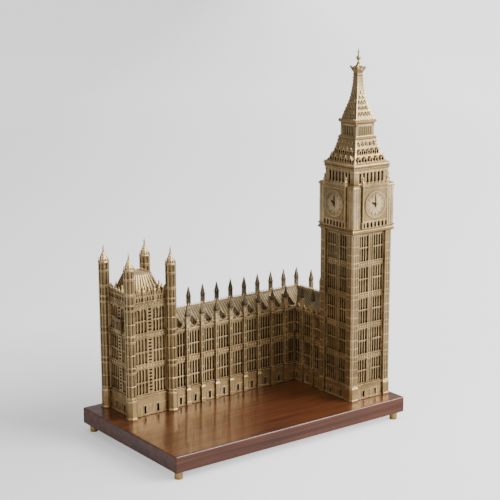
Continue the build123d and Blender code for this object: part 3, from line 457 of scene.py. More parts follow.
def pierced_band(mold, x0, x1, z0, z1, openings, y_front, y_back):
    """A band of wall with openings right through it."""
    edges = [x0] + [e for opening in openings for e in opening] + [x1]
    for a, b in zip(edges[::2], edges[1::2]):
        mold.box(a, b, y_front, y_back, z0, z1)


def door_pair(mold, x, y, z0, tall, apart):
    """A door with a hood and jambs, and a slit window to its left; x is the door's middle."""
    for mid, wide, high in ((x, 4.4, tall), (x - apart, 1.2, tall - 1.5)):
        half = wide / 2
        for side in (-1, 1):
            mold.box(mid + side * half - 0.35, mid + side * half + 0.35, y - 0.5, y + 0.5, z0, z0 + high)
        mold.plate([(mid - half - 0.7, z0 + high), (mid + half + 0.7, z0 + high),
                    (mid + half + 0.2, z0 + high + 0.9), (mid, z0 + high + 1.6),
                    (mid - half - 0.2, z0 + high + 0.9)], y - 0.6, y + 0.4)
    mold.light(x - 2.2, x + 2.2, z0, z0 + tall, y + 0.15, y + 1.2, 1.6)


def door_openings(doors, apart):
    return [edge for x in doors for edge in ((x - apart - 0.6, x - apart + 0.6), (x - 2.2, x + 2.2))]


def plinth_face(mold, x0, x1, y, top, doors, door_top, apart):
    """A plinth side that looks to -Y: base moulding in two steps, plain wall, top string."""
    pierced_band(mold, x0, x1, 2.4, door_top, door_openings(doors, apart), y, y + 2.2)
    mold.box(x0, x1, y, y + 2.2, door_top, top - 2.2)
    mold.box(x0, x1, y - 0.35, y + 2.2, top - 2.2, top)
    mold.moulding(x0, x1, y - 0.3, top - 2.3, 1.0, 0.7)
    mold.moulding(x0, x1, y - 0.3, top - 0.3, 1.0, 0.9)
    mold.box(x0, x1, y - 1.2, y + 2.0, 0, 1.3)
    mold.moulding(x0, x1, y, 2.0, 1.5, 1.0)
    mold.moulding(x0, x1, y - 0.9, 0.9, 1.3, 0.9)
    for x in doors:
        door_pair(mold, x, y, 1.5, door_top - 1.6, apart)


low, high = mm_box("pavilion_plinth")
pav_x = (mm_box("turret_front_left")[0].x + mm_box("turret_front_right")[1].x) / 2
pav_y = (mm_box("turret_front_left")[0].y + mm_box("turret_back_left")[1].y) / 2
pav_half = pav_x - (mm_box("turret_front_left")[0].x + mm_box("turret_front_left")[1].x) / 2
pav_wall = pav_x - mm_box("pavilion_left_wall")[0].x
pav_plinth_top = high.z - deck
face = Mold()
plinth_face(face, -pav_wall + 2, pav_wall - 2, -pav_wall - 0.8, pav_plinth_top, (-9.6, 9.6), 13.6, 6.4)
cast("pavilion_plinth_casting", face, ["pavilion_plinth"], four=(0, 0), at=(pav_x, pav_y))


# ------------------------------------------------------------ pavilion walls
# Four cast panels soldered between the turrets: three storeys of paired four-light windows with
# transoms, panelled bands between double strings, and a beaded strip up the middle.

def panel_band(mold, x0, x1, z0, z1, y, pitch):
    """A band between two strings, with a raised lozenge over every light."""
    mold.box(x0, x1, y, y + 2.0, z0, z1)
    mold.moulding(x0, x1, y, z0 + 0.5, 1.3, 0.95)
    mold.moulding(x0, x1, y, z1 - 0.5, 1.3, 0.95)
    count = max(1, round((x1 - x0) / pitch))
    step = (x1 - x0) / count
    mid = (z0 + z1) / 2
    for i in range(count):
        x = x0 + (i + 0.5) * step
        r = min(step, z1 - z0 - 2) * 0.36
        mold.plate([(x, mid - r), (x + r, mid), (x, mid + r), (x - r, mid)], y - 0.5, y + 0.2)


wall_top = mm_box("pavilion_front_wall")[1].z - deck
pane_in, pane_out = 4.2, 22.6
storeys = [(28.4, 61.5), (67.8, 101.6), (108.2, 142.0)]
bands = [(61.5, 67.8), (101.6, 108.2), (142.0, wall_top)]


def pavilion_wall():
    wall = Mold()
    reach = pav_wall - 2.2
    wall.box(-reach, reach, 2.0, 3.0, pav_plinth_top, wall_top)
    wall.box(-reach, reach, 0.0, 2.2, pav_plinth_top, storeys[0][0])
    for z0, z1 in bands:
        panel_band(wall, -reach, reach, z0, z1, 0.0, 4.6)
    for storey, (z0, z1) in enumerate(storeys):
        for x0, x1 in ((-pane_out, -pane_in), (pane_in, pane_out)):
            wall.window(x0, x1, z0, z1, 4, [z0 + 0.46 * (z1 - z0)], 0.25, 2.2, 0.95)
            if storey == 2:
                m = (x0 + x1) / 2
                for a, b in ((x0 + 0.4, m), (m, x1 - 0.4)):
                    wall.light(a, b, z0, z1, -0.25, 0.6, 5.0)
        for x0, x1 in ((-reach, -pane_out), (pane_out, reach)):
            wall.box(x0, x1, 0.0, 2.2, z0, z1)
        for side in (-1, 1):
            wall.box(side * 3.2 - 0.9, side * 3.2 + 0.9, -0.35, 2.2, z0, z1)
    return wall


rung = Mold()
rung.box(-2.4, 2.4, -0.1, 2.2, -1.0, 1.0)
rung.polygon_stack(0, -0.1, 6, [(1.3, -0.6), (1.3, 0.6)])
wall_sides = (("front", 0, (pav_x, pav_y - pav_wall)), ("right", 1, (pav_x + pav_wall, pav_y)),
              ("back", 2, (pav_x, pav_y + pav_wall)), ("left", 3, (pav_x - pav_wall, pav_y)))
for side, turn, at in wall_sides:
    cast("pavilion_" + side + "_wall_casting", pavilion_wall(), ["pavilion_" + side + "_wall"],
         rows=[(rung, (0, 0, 30.0), (0, 0, 4.4), 26)], turn=turn, at=at)


# ------------------------------------------------------------ turrets
# Octagonal corner turrets, cast whole: a rib up each arris, bands that carry the walls' strings
# round, slit panels under the eaves and a socket on top for the spirelet's peg.

def octagon_band(mold, across, z, tall, proud):
    mold.polygon_stack(0, 0, 8, [(across, z - tall / 2), (across + 2 * proud, z - tall / 6),
                                 (across + 2 * proud, z + tall / 5), (across, z + tall / 2)])


def raised(z, levels):
    """The same (size, height) levels, lifted by z."""
    return [(size, z + height) for size, height in levels]


turret_across = 12.2
turret_top = mm_box("turret_front_left")[1].z - deck


def turret_casting():
    shaft = Mold()
    shaft.polygon_stack(0, 0, 8, [(14.8, 0), (14.8, 1.4), (13.8, 2.8), (13.2, 3.4), (13.2, 24.5),
                                  (11.4, 25.5), (11.4, 27)])
    shaft.polygon_stack(0, 0, 8, [(turret_across - 2.6, 26), (turret_across - 2.6, turret_top - 2)])
    arris = turret_across / 2 / math.cos(math.pi / 8) - 0.85
    for i in range(8):
        angle = math.tau * (i + 0.5) / 8
        shaft.polygon_stack(arris * math.cos(angle), arris * math.sin(angle), 4,
                            [(1.7, 26), (1.7, turret_top - 2)], angle - math.pi / 4)
    for z in (24.4, 28.3, 61.7, 67.6, 101.5, 108.3, 142.2, 148.2, 162.0, 182.0):
        octagon_band(shaft, turret_across, z, 1.9, 0.65)
    for z in (44.0, 84.0, 124.0):
        octagon_band(shaft, turret_across, z, 1.2, 0.25)
    for z0, z1 in ((28.8, 61.0), (68.2, 101.0), (109.0, 141.5), (149.0, 161.3), (163.0, 181.2)):
        for i in range(8):
            angle = math.tau * i / 8
            c, s = math.cos(angle), math.sin(angle)
            for tall, top in ((0.9, z0 + 1.0), (1.6, z1)):
                quad = [(5.75, -2.0), (5.75, 2.0), (4.4, 2.0), (4.4, -2.0)]
                shaft.loft([[(p * c - q * s, p * s + q * c, z) for p, q in quad]
                            for z in (top - tall, top)])
    shaft.polygon_stack(0, 0, 8, raised(turret_top, [(12.3, -3.0), (13.5, -2.0), (13.5, -0.8), (12.9, 0)]))
    return shaft


corner_spots = {"front_left": (-1, -1), "front_right": (1, -1), "back_left": (-1, 1), "back_right": (1, 1)}
for spot, (sx, sy) in corner_spots.items():
    cast("turret_" + spot + "_casting", turret_casting(), ["turret_" + spot],
         at=(pav_x + sx * pav_half, pav_y + sy * pav_half))


# ------------------------------------------------------------ turret spirelets
# Four small eight-sided caps with a swept foot, gablets round the eaves and a knop at the tip.
# Each is cast on its own and pegged into its turret.

tip = mm_box("turret_spirelets")[1].z - deck
cap = Mold()
cap.polygon_stack(pav_half, pav_half, 8, raised(turret_top, [(12.8, 0), (12.8, 0.8), (11.0, 1.2),
                                                             (9.0, 3.6), (6.8, 6.6), (4.6, 9.4),
                                                             (2.8, 11.6), (2.0, 13.6), (1.4, 18)]))
cap.polygon_stack(pav_half, pav_half, 8, raised(tip, [(1.2, -5.2), (2.2, -4.4), (2.2, -3.7), (1.0, -3.0),
                                                      (0.4, 0)]))
for i in range(8):
    angle = math.tau * i / 8
    c, s = math.cos(angle), math.sin(angle)
    outline = [(-1.6, turret_top - 0.2), (1.6, turret_top - 0.2), (0, turret_top + 3.6)]
    rings = [[(pav_half + r * c - b * s, pav_half + r * s + b * c, z) for b, z in outline]
             for r in (4.0, 6.5)]
    cap.loft(rings)
for i in range(8):
    angle = math.tau * (i + 0.5) / 8
    for r, z in ((4.7, 3.4), (3.5, 6.4), (2.3, 9.4)):
        cap.polygon_stack(pav_half + r * math.cos(angle), pav_half + r * math.sin(angle), 4,
                          [(0.3, turret_top + z - 0.7), (1.1, turret_top + z), (0.3, turret_top + z + 0.9)])
cast("turret_spirelet_castings", cap, ["turret_spirelets"], four=(0, 0), at=(pav_x, pav_y))


# ------------------------------------------------------------ pavilion parapet
# A pierced parapet let in between the turrets: rail, little arched openings, pointed merlons
# and two knopped pinnacles on each side.

low, high = mm_box("pavilion_parapet")
rail_z = low.z - deck
top_z = high.z - deck
rail = Mold()
reach = pav_half - 6.0
y = -pav_wall - 0.4
rail.box(-reach, reach, y, y + 2.0, rail_z, rail_z + 1.2)
rail.moulding(-reach, reach, y, rail_z + 1.2, 1.6, 0.9)
rail.moulding(-reach, reach, y + 0.2, rail_z + 8.2, 1.2, 0.6)
rail.box(-reach, reach, y + 0.4, y + 1.8, rail_z + 7.6, rail_z + 8.8)
rail.box(-reach, reach, y + 1.5, y + 1.9, rail_z + 1, rail_z + 8)
for x in (-8.2, 8.2):
    rail.box(x - 1.3, x + 1.3, y - 0.6, y + 2.0, rail_z, top_z + 2)
    rail.polygon_stack(x, y + 0.7, 4, raised(top_z, [(2.6, 2), (3.4, 2.6), (2.6, 3.4), (1.2, 7),
                                                     (1.6, 7.6), (0.4, 9.5)]), math.pi / 2)
merlon = Mold()
for side in (-1, 1):
    merlon.plate([(side * 2.7, 0), (side * 2.7, 3.4), (0, 7.0), (0, 4.8), (side * 1.5, 2.8),
                  (side * 1.5, 0)][::side], 0.2, 1.6)
merlon.box(-0.45, 0.45, 0.5, 1.5, 0, 5.4)
merlon.polygon_stack(0, 0.9, 4, [(0.9, 6.4), (1.5, 7.2), (0.9, 8.0), (0.3, 9.6)])
bar = Mold()
bar.box(-0.45, 0.45, 0.1, 1.6, 0, 7)
bar.light(0.45, 3.45, 0, 7, 0.3, 1.5, 1.8)
cast("pavilion_parapet_casting", rail, ["pavilion_parapet"],
     rows=[(merlon, (-reach + 2.3, y, rail_z + 8.7), (7.4, 0, 0), 7), (bar, (-reach, y, rail_z + 1),
                                                                       (3.9, 0, 0), 12)], four=(0, 0),
     at=(pav_x, pav_y))


# ------------------------------------------------------------ pavilion roof
# A bombe roof: convex slopes under raised ribs that draw in to a flat, railed top. The ribs and
# the rail are one casting and the dome beneath them another.

roof_foot = mm_box("pavilion_roof")[0].z - deck
roof_profile = [(20.4, 2), (20.0, 6), (18.9, 12), (17.7, 17), (16.2, 22), (14.4, 27), (12.1, 32.5)]
dome = Mold()
dome.loft([[(-w, -w, roof_foot + z), (w, -w, roof_foot + z), (w, w, roof_foot + z), (-w, w, roof_foot + z)]
           for w, z in roof_profile])
ribs = Mold()
for i in range(-4, 5):
    rings = []
    for w, z in roof_profile:
        x = i / 4.0 * (w - 0.5)
        rings.append([(x - 0.75, -w - 1.1, roof_foot + z), (x + 0.75, -w - 1.1, roof_foot + z),
                      (x + 0.75, -w + 0.8, roof_foot + z), (x - 0.75, -w + 0.8, roof_foot + z)])
    ribs.loft(rings)
crown_z = roof_foot + roof_profile[-1][1]
ribs.box(-12.8, 12.8, -12.8, -11.4, crown_z - 0.8, crown_z + 1.0)
ribs.moulding(-13.0, 13.0, -12.8, crown_z + 0.2, 1.4, 0.6)
ribs.mitre(0.2, [(11.8, crown_z - 0.6), (11.8, crown_z + 0.2)])
ribs.box(-23.4, 23.4, -23.4, -19.0, roof_foot, roof_foot + 1.9)
tooth = Mold()
tooth.polygon_stack(0, 0, 4, [(1.0, 0), (0.7, 0.9), (0.3, 1.6)])
cast("pavilion_roof_casting", ribs, ["pavilion_roof"],
     rows=[(tooth, (-12.0, -12.1, crown_z + 0.8), (3.0, 0, 0), 9)], four=(0, 0), at=(pav_x, pav_y))
cast("pavilion_roof_dome_casting", dome, ["pavilion_roof"], at=(pav_x, pav_y))


# ------------------------------------------------------------ oriel
# A small bay window soldered to the pavilion's left wall, on a stepped corbel, with a
# battlemented top.

low, high = mm_box("pavilion_oriel")
oriel = Mold()
z0, z1 = low.z - deck, high.z - deck
for k, (half, deep) in enumerate(((5.0, 1.6), (6.4, 2.8), (7.6, 3.8))):
    oriel.plate([(-half, z0 - 4 + 2 * k), (half, z0 - 4 + 2 * k), (half, z0 - 2 + 2 * k),
                 (-half, z0 - 2 + 2 * k)], -deep, 0.4)
oriel.box(-7.2, 7.2, -2.6, 0.4, z0 + 1.5, z1 - 1.5)
oriel.window(-7.2, 7.2, z0 + 2, z1 - 2.4, 4, [], -3.7, -2.4, 0.9)
oriel.box(-8.0, 8.0, -4.1, 0.4, z1 - 2.6, z1 - 1.2)
oriel.moulding(-8.4, 8.4, -4.0, z1 - 1.4, 1.4, 0.8)
crenel = Mold()
crenel.box(-0.9, 0.9, -4.2, -3.0, 0, 2.0)
cast("pavilion_oriel_casting", oriel, ["pavilion_oriel"],
     rows=[(crenel, (-7.2, 0, z1 - 1.2), (3.6, 0, 0), 5)], turn=3, at=(pav_x - pav_wall, pav_y))


# ------------------------------------------------------------ long wing plinth
# The foot of the long wing, front and back: a stepped base moulding, a plain wall with a door
# and a slit beside each post, and a top string. Screwed to the board from below.

low, high = mm_box("long_wing_front_wall")
wing_left, wing_front = low.x, low.y
wing_back = mm_box("long_wing_back_wall")[1].y
outer_x = mm_box("short_wing_outer_wall")[1].x
inner_x = mm_box("short_wing_inner_wall")[0].x
wing_plinth_top = mm_box("long_wing_plinth")[1].z - deck
post_pitch = 22.8
first_post = mm_box("long_wing_front_buttresses")[0].x + 3.0
front_posts = [first_post + post_pitch * k for k in range(8)]
first_back_post = mm_box("long_wing_back_buttresses")[0].x + 3.0
back_posts = [first_back_post + post_pitch * k for k in range(11)]
foot = Mold()
half_bay = post_pitch / 2
door_head, slit_apart = 12.6, 4.6
plinth_face(foot, wing_left + 2, inner_x, wing_front - 0.8, wing_plinth_top,
            [x - half_bay for x in front_posts], door_head, slit_apart)
far = Mold()
plinth_face(far, -outer_x, -wing_left - 2, -wing_back - 0.8, wing_plinth_top,
            [-x - half_bay for x in reversed(back_posts)][1:], door_head, slit_apart)
foot.add(far, 2)
cast("long_wing_plinth_casting", foot, ["long_wing_plinth"])


# ------------------------------------------------------------ long wing walls
# Cast panels between the posts, two storeys of four lights to a bay with a transom in each,
# and a band of lozenges between the storeys.

cornice = mm_box("long_wing_front_wall")[1].z - deck
lower_sill, lower_head, upper_sill, upper_head = 25.6, 58.8, 66.2, 98.4
lower_transom, upper_transom = 39.8, 81.4
jamb = 2.9


def wing_bay(wide=post_pitch):
    """One bay between two post centres, x from 0 to one pitch."""
    bay = Mold()
    bay.box(0, wide, 2.3, 3.0, wing_plinth_top, cornice)
    for x0, x1 in ((0, jamb), (wide - jamb, wide)):
        bay.box(x0, x1, 0.0, 2.4, wing_plinth_top, cornice)
    bay.box(jamb, wide - jamb, 0.05, 2.4, wing_plinth_top, lower_sill)
    bay.window(jamb, wide - jamb, lower_sill, lower_head, 4, [lower_transom], 0.1, 2.4, 1.15)
    panel_band(bay, 2.2, wide - 2.2, lower_head, upper_sill, -0.1, (wide - 4.4) / 4.33)
    bay.window(jamb, wide - jamb, upper_sill, upper_head, 4, [upper_transom], 0.1, 2.4, 1.15)
    bay.box(0.1, wide - 0.1, 0.06, 2.4, upper_head, cornice)
    return bay


def wing_wall(first, last):
    """The parts of a wing wall that run its whole length."""
    wall = Mold()
    wall.moulding(first, last, 0, 25.4, 1.0, 0.8)
    wall.moulding(first, last, 0, 99.2, 1.2, 0.9)
    wall.box(first, last, -0.3, 2.2, 99.8, cornice)
    return wall


wall = wing_wall(wing_left + 3, inner_x)
wall.add(wing_bay(inner_x - front_posts[-1]), 0, (front_posts[-1], 0))
cast("long_wing_front_wall_casting", wall, ["long_wing_front_wall"],
     rows=[(wing_bay(), (first_post - post_pitch, 0, 0), (post_pitch, 0, 0), 8)], at=(0, wing_front))
wall = wing_wall(-outer_x, -wing_left - 3)
wall.box(-outer_x, -back_posts[-1], 0.02, 3.0, wing_plinth_top, cornice)
cast("long_wing_back_wall_casting", wall, ["long_wing_back_wall"],
     rows=[(wing_bay(), (-back_posts[-1], 0, 0), (post_pitch, 0, 0), 11)], turn=2, at=(0, wing_back))


# ------------------------------------------------------------ long wing buttresses
# Square posts cast with a splayed foot, a sunk panel between two beads up the face, and collars
# where the wall's strings run across.

def post_detail(top):
    post = Mold()
    post.stack([(-3.5, 3.5, -4.6, 0.4, 0), (-3.5, 3.5, -4.6, 0.4, 1.3), (-3.1, 3.1, -4.1, 0.4, 1.7),
                (-3.1, 3.1, -4.1, 0.4, 3.0), (-3.4, 3.4, -4.4, 0.4, 3.4), (-3.4, 3.4, -4.4, 0.4, 4.3),
                (-2.6, 2.6, -3.6, 0.4, 5.2), (-2.6, 2.6, -3.6, 0.4, 18.6), (-3.1, 3.1, -4.1, 0.4, 19.2),
                (-3.1, 3.1, -4.1, 0.4, 20.2), (-2.2, 2.2, -3.0, 0.4, 22.4), (-2.2, 2.2, -3.0, 0.4, 25)])
    post.box(-2.12, 2.12, -2.2, 0.35, 24, top - 1)
    for x0, x1 in ((-2.2, -1.05), (1.05, 2.2)):
        post.box(x0, x1, -3.0, -1.8, 24, top - 1)
    for z, tall, out in ((25.4, 1.4, 0.5), (lower_transom, 0.9, 0.25), (lower_head, 1.2, 0.4),
                         (66.0, 1.2, 0.4), (upper_transom, 0.9, 0.25), (100.7, 1.8, 0.6),
                         (top - 0.6, 1.2, 0.3)):
        w, d = 2.2, 3.0
        post.stack([(-w, w, -d, 0.4, z - tall / 2), (-w - out, w + out, -d - out, 0.4, z - tall / 6),
                    (-w - out, w + out, -d - out, 0.4, z + tall / 5), (-w, w, -d, 0.4, z + tall / 2)])
    for z in (48, 74, 91):
        post.plate(raised(z, [(-1.1, -1.2), (1.1, -1.2), (1.1, 0.6), (0, 2.0), (-1.1, 0.6)]), -2.8, -2.0)
    post.box(-1.9, 1.9, -2.6, 0.6, 103, top)
    post.plate([(-2.0, 103), (2.0, 103), (2.0, 106), (0, 109), (-2.0, 106)], -3.1, -2.4)
    return post


front_top = mm_box("long_wing_front_buttresses")[1].z - deck
back_top = mm_box("long_wing_back_buttresses")[1].z - deck
cast("long_wing_front_buttress_castings", Mold(), ["long_wing_front_buttresses"],
     rows=[(post_detail(front_top), (first_post, 0, 0), (post_pitch, 0, 0), 8)], at=(0, wing_front))
cast("long_wing_back_buttress_castings", Mold(), ["long_wing_back_buttresses"],
     rows=[(post_detail(back_top), (-back_posts[-1], 0, 0), (post_pitch, 0, 0), 11)], turn=2,
     at=(0, wing_back))


# ------------------------------------------------------------ long wing parapets
# A gutter rail on each wall with a row of small pierced gablets standing on it,
# two gablets to a bay.

def parapet_rail(first, last):
    rail = Mold()
    rail.box(first, last, -1.0, 7.5, cornice, cornice + 1.5)
    rail.moulding(first, last, -0.6, cornice + 0.8, 1.5, 0.7)
    rail.box(first, last, 0.2, 1.3, cornice + 1.4, cornice + 2.6)
    return rail


def gablet_detail():
    """One gablet of a zigzag parapet, with an opening through it and a bud on its point."""
    gablet = Mold()
    rise = 7.4
    for side in (-1, 1):
        gablet.plate([(side * 5.6, 1.6), (side * 5.6, 2.6), (0, rise + 0.2), (0, rise - 1.9),
                      (side * 3.9, 1.6)][::side], -0.7, 1.2)
        gablet.box(side * 2.2 - 0.3, side * 2.2 + 0.3, 0.2, 1.0, 1.5, 4.2)
    gablet.box(-0.35, 0.35, 0.2, 1.0, 1.5, 5.9)
    gablet.polygon_stack(0, 0.6, 4, [(0.7, rise - 0.2), (1.3, rise + 0.6), (0.4, rise + 1.7)])
    return gablet


step = half_bay
cast("long_wing_front_parapet_casting", parapet_rail(wing_left + 3, inner_x + 3),
     ["long_wing_front_parapet"], rows=[(gablet_detail(), (first_post - 1.5 * step, 0, cornice),
                                         (step, 0, 0), 17)], at=(0, wing_front))
cast("long_wing_back_parapet_casting", parapet_rail(-outer_x, -wing_left - 3), ["long_wing_back_parapet"],
     rows=[(gablet_detail(), (-back_posts[-1] + 0.5 * step, 0, cornice), (step, 0, 0), 21)], turn=2,
     at=(0, wing_back))


# ------------------------------------------------------------ long wing pinnacles
# A square shaft on each post, a moulded shoulder with four gablets, and a crocketed spirelet
# drawn to a point. Cast singly and pegged into the post heads.

# Colours: painted edge highlight, metal body, painted recess shade with patina.
dark_bronze = cast_metal("dark_bronze", rgb(170, 152, 122), rgb(104, 90, 68), rgb(40, 33, 22), 0.003,
                         0.7, 0.8, 0.00005)


def pinnacle_detail(z0, tip, wide, sleeve):
    """A shaft sleeve round the post head, a shoulder and a straight spirelet with buds."""
    spire = Mold()
    shoulder = tip - 12.5
    spire.polygon_stack(0, -1.3, 4, [(wide, z0 - sleeve), (wide, shoulder - 1.8),
                                     (wide + 0.7, shoulder - 1.2), (wide + 0.7, shoulder - 0.4),
                                     (wide * 0.94, shoulder + 0.2), (wide * 0.74, shoulder + 3.4),
                                     (wide * 0.5, shoulder + 6.8), (wide * 0.28, shoulder + 10.0),
                                     (0.4, tip)])
    for turn in range(4):
        leaf = Mold()
        leaf.plate([(-wide * 0.3, shoulder - 0.5), (wide * 0.3, shoulder - 0.5), (0, shoulder + 2.6)],
                   -wide / 2 - 0.3, -1.0)
        leaf.box(-0.3, 0.3, -wide / 2 - 0.25, -1.6, z0 - 2, shoulder - 2)
        for r, z in ((0.38, 1.8), (0.3, 4.4), (0.2, 7.0)):
            leaf.polygon_stack(r * wide, -r * wide, 4, [(0.2, shoulder + z - 0.6), (0.8, shoulder + z),
                                                        (0.2, shoulder + z + 0.7)])
        spire.add(leaf, turn, (0, -1.3))
    return spire


front_tip = mm_box("short_wing_pinnacles")[1].z - deck - 7.0
back_tip = mm_box("long_wing_pinnacles")[1].z - deck
front_wide, front_sleeve = 3.8, 2
back_wide, back_sleeve = 4.6, 16
cast("long_wing_pinnacle_castings", Mold(), ["long_wing_pinnacles"],
     rows=[(pinnacle_detail(front_top, front_tip, front_wide, front_sleeve), (first_post, wing_front, 0),
            (post_pitch, 0, 0), 8), (pinnacle_detail(back_top, back_tip, back_wide, back_sleeve),
                                     (first_back_post, wing_back + 2.6, 0), (post_pitch, 0, 0), 11)],
     finish=dark_bronze)


# ------------------------------------------------------------ long wing roof
# A folded roof with ribs down its slopes and a cross gable behind the parapet at every bay,
# each gable with raking bars, buds and its own small ribs.

mid_y = (wing_front + wing_back) / 2
eaves_in = 4.6
eaves_z = cornice + 1.5
ridge_z = 122.5
hip_x, ridge_end = outer_x - eaves_in, (inner_x + outer_x) / 2
# Colours: painted edge highlight, metal body, painted recess shade with patina.
roof_bronze = cast_metal("roof_bronze", rgb(226, 204, 164), rgb(128, 108, 78), rgb(40, 32, 20), 0.0034,
                         1.0, 0.85, 0.00005)
roof = Mold()
y0, y1 = wing_front + eaves_in, wing_back - eaves_in
roof.loft([[(wing_left + 1, y0, eaves_z), (wing_left + 1, y1, eaves_z), (wing_left + 1, mid_y, ridge_z)],
           [(ridge_end, y0, eaves_z), (ridge_end, y1, eaves_z), (ridge_end, mid_y, ridge_z)],
           [(hip_x, y0, eaves_z), (hip_x, y1, eaves_z), (hip_x, mid_y, eaves_z + 0.05)]])
slope_rib = Mold()
slope_rib.loft([[(x, y0 - mid_y - 0.1, eaves_z), (x, y0 - mid_y + 0.4, eaves_z - 0.6),
                 (x, 0, ridge_z - 0.7), (x, 0, ridge_z + 0.35)] for x in (-0.35, 0.35)])
gable = Mold()
gable_top = 118.0
set_back = wing_front + 6.2
gable.loft([[(-10.2, y, eaves_z - 0.4), (10.2, y, eaves_z - 0.4), (0, y, gable_top - 0.7)]
            for y in (set_back + 0.4, mid_y - 6)])
for side in (-1, 1):
    gable.plate([(side * 10.9, eaves_z), (side * 10.9, eaves_z + 1.1), (0, gable_top + 0.5),
                 (0, gable_top - 1.5), (side * 9.2, eaves_z)][::side], set_back - 0.9, set_back + 1.0)
    for x, top in ((1.3, 10.6), (3.9, 7.6), (6.4, 4.4)):
        gable.box(side * x - 0.3, side * x + 0.3, set_back - 0.4, set_back + 0.8, eaves_z, eaves_z + top)
    for k in range(4):
        t = (k + 0.6) / 4.4
        gable.polygon_stack(side * 10.9 * t, set_back, 4, [(0.5, gable_top + 0.4 - 15.4 * t),
                                                           (1.3, gable_top + 1.2 - 15.4 * t),
                                                           (0.3, gable_top + 2.0 - 15.4 * t)])
gable.box(-0.4, 0.4, set_back + 0.6, mid_y - 6, gable_top - 0.9, gable_top + 0.3)
gable.polygon_stack(0, set_back, 4, [(1.2, gable_top), (1.8, gable_top + 0.9), (0.4, gable_top + 3.0)])
for k in range(4):
    y = set_back + 3.4 + 3.0 * k
    for side in (-1, 1):
        gable.loft([[(0, b, gable_top - 0.6), (side * 0.4, b, gable_top), (side * 10.4, b, eaves_z + 0.3),
                     (side * 10.4, b, eaves_z - 0.6)] for b in (y - 0.3, y + 0.3)])
far_rib = Mold()
far_rib.add(slope_rib, 2)
cast("long_wing_roof_casting", roof, ["long_wing_roof"], finish=roof_bronze,
     rows=[(gable, (first_post - post_pitch / 2, 0, 0), (post_pitch - 0.1, 0, 0), 9),
           (slope_rib, (first_post - 1.9, mid_y, 0), (3.8, 0, 0), 54),
           (far_rib, (first_post - 1.9, mid_y, 0), (3.8, 0, 0), 54)])


# ------------------------------------------------------------ long wing cresting
# A ridge roll carrying a close row of little spikes, cast as one strip
# and soldered along the ridge.

spike = Mold()
spike.polygon_stack(0, 0, 4, [(0.7, -0.4), (0.7, 0.9), (1.3, 1.4), (0.9, 1.9), (0.25, 3.0)])


def cresting(first, last):
    ridge = Mold()
    ridge.box(first, last, -1.6, 1.6, ridge_z - 1.6, ridge_z - 0.4)
    ridge.box(first, last, -0.8, 0.8, ridge_z - 0.6, ridge_z + 0.7)
    return ridge


low, high = mm_box("long_wing_ridge_cresting")
count = int((high.x - low.x - 3) / 2.85)
cast("long_wing_ridge_cresting_casting", cresting(low.x, high.x), ["long_wing_ridge_cresting"],
     rows=[(spike, (low.x + 1.5, 0, ridge_z + 0.7), (2.85, 0, 0), count)], at=(0, mid_y))


# ------------------------------------------------------------ short wing
# The return wing between the long one and the tower, made of the same plinth, panels, posts,
# parapets, pinnacles and roof, turned a quarter.

tower_low, tower_high = mm_box("tower_plinth")
tower_x, tower_y = (tower_low.x + tower_high.x) / 2, (tower_low.y + tower_high.y) / 2
on_tower = {"four": (0, 0), "at": (tower_x, tower_y)}
tower_half = 33.2
tower_back = tower_y + tower_half
side_posts = [wing_back - post_pitch * k for k in (1, 2, 3, 4)]
inner_posts = side_posts[2:]
foot = Mold()
plinth_face(foot, tower_back + 0.5, wing_back - 2, -0.8, wing_plinth_top,
            [y - half_bay for y in reversed(side_posts)][1:], door_head, slit_apart)
both = Mold()
both.add(foot, 1, (outer_x, 0))
foot = Mold()
plinth_face(foot, -wing_front, -tower_back - 0.5, -0.8, wing_plinth_top,
            [-y - half_bay for y in inner_posts], door_head, slit_apart)
both.add(foot, 3, (inner_x, 0))
cast("short_wing_plinth_casting", both, ["short_wing_plinth"])
cast("short_wing_outer_wall_casting", wing_wall(tower_back, wing_back - 1), ["short_wing_outer_wall"],
     rows=[(wing_bay(), (side_posts[-1] - post_pitch + 3.5, 0, 0), (post_pitch - 0.7, 0, 0), 5)], turn=1,
     at=(outer_x, 0))
cast("short_wing_inner_wall_casting", wing_wall(-wing_front - 1, -tower_back), ["short_wing_inner_wall"],
     rows=[(wing_bay(), (-side_posts[1], 0, 0), (post_pitch, 0, 0), 3)], turn=3, at=(inner_x, 0))
both = Mold()
for y in side_posts:
    both.add(post_detail(back_top), 1, (outer_x, y))
for y in inner_posts:
    both.add(post_detail(front_top), 3, (inner_x, y))
cast("short_wing_buttress_castings", both, ["short_wing_buttresses"])
both = Mold()
for y in side_posts:
    both.add(pinnacle_detail(back_top, back_tip, back_wide, back_sleeve), 1, (outer_x, y))
for y in inner_posts:
    both.add(pinnacle_detail(front_top, front_tip, front_wide, front_sleeve), 3, (inner_x, y))
cast("short_wing_pinnacle_castings", both, ["short_wing_pinnacles"], finish=dark_bronze)
cast("short_wing_outer_parapet_casting", parapet_rail(tower_back, wing_back - 1),
     ["short_wing_outer_parapet"], rows=[(gablet_detail(), (tower_back + 0.5 * step, 0, cornice),
                                          (step, 0, 0), 9)], turn=1, at=(outer_x, 0))
cast("short_wing_inner_parapet_casting", parapet_rail(-wing_front, -tower_back),
     ["short_wing_inner_parapet"], rows=[(gablet_detail(), (-wing_front + 0.6 * step, 0, cornice),
                                          (step, 0, 0), 5)], turn=3, at=(inner_x, 0))
half = (outer_x - inner_x) / 2 - eaves_in
roof = Mold()
roof.loft([[(ridge_end - half, y, eaves_z), (ridge_end + half, y, eaves_z), (ridge_end, y, ridge_z)]
           for y in (tower_back + 0.3, mid_y)])
rib = Mold()
for side in (-1, 1):
    rib.loft([[(side * (half + 0.1), y, eaves_z), (side * (half - 0.4), y, eaves_z - 0.6),
               (0, y, ridge_z - 0.7), (0, y, ridge_z + 0.35)] for y in (-0.35, 0.35)])
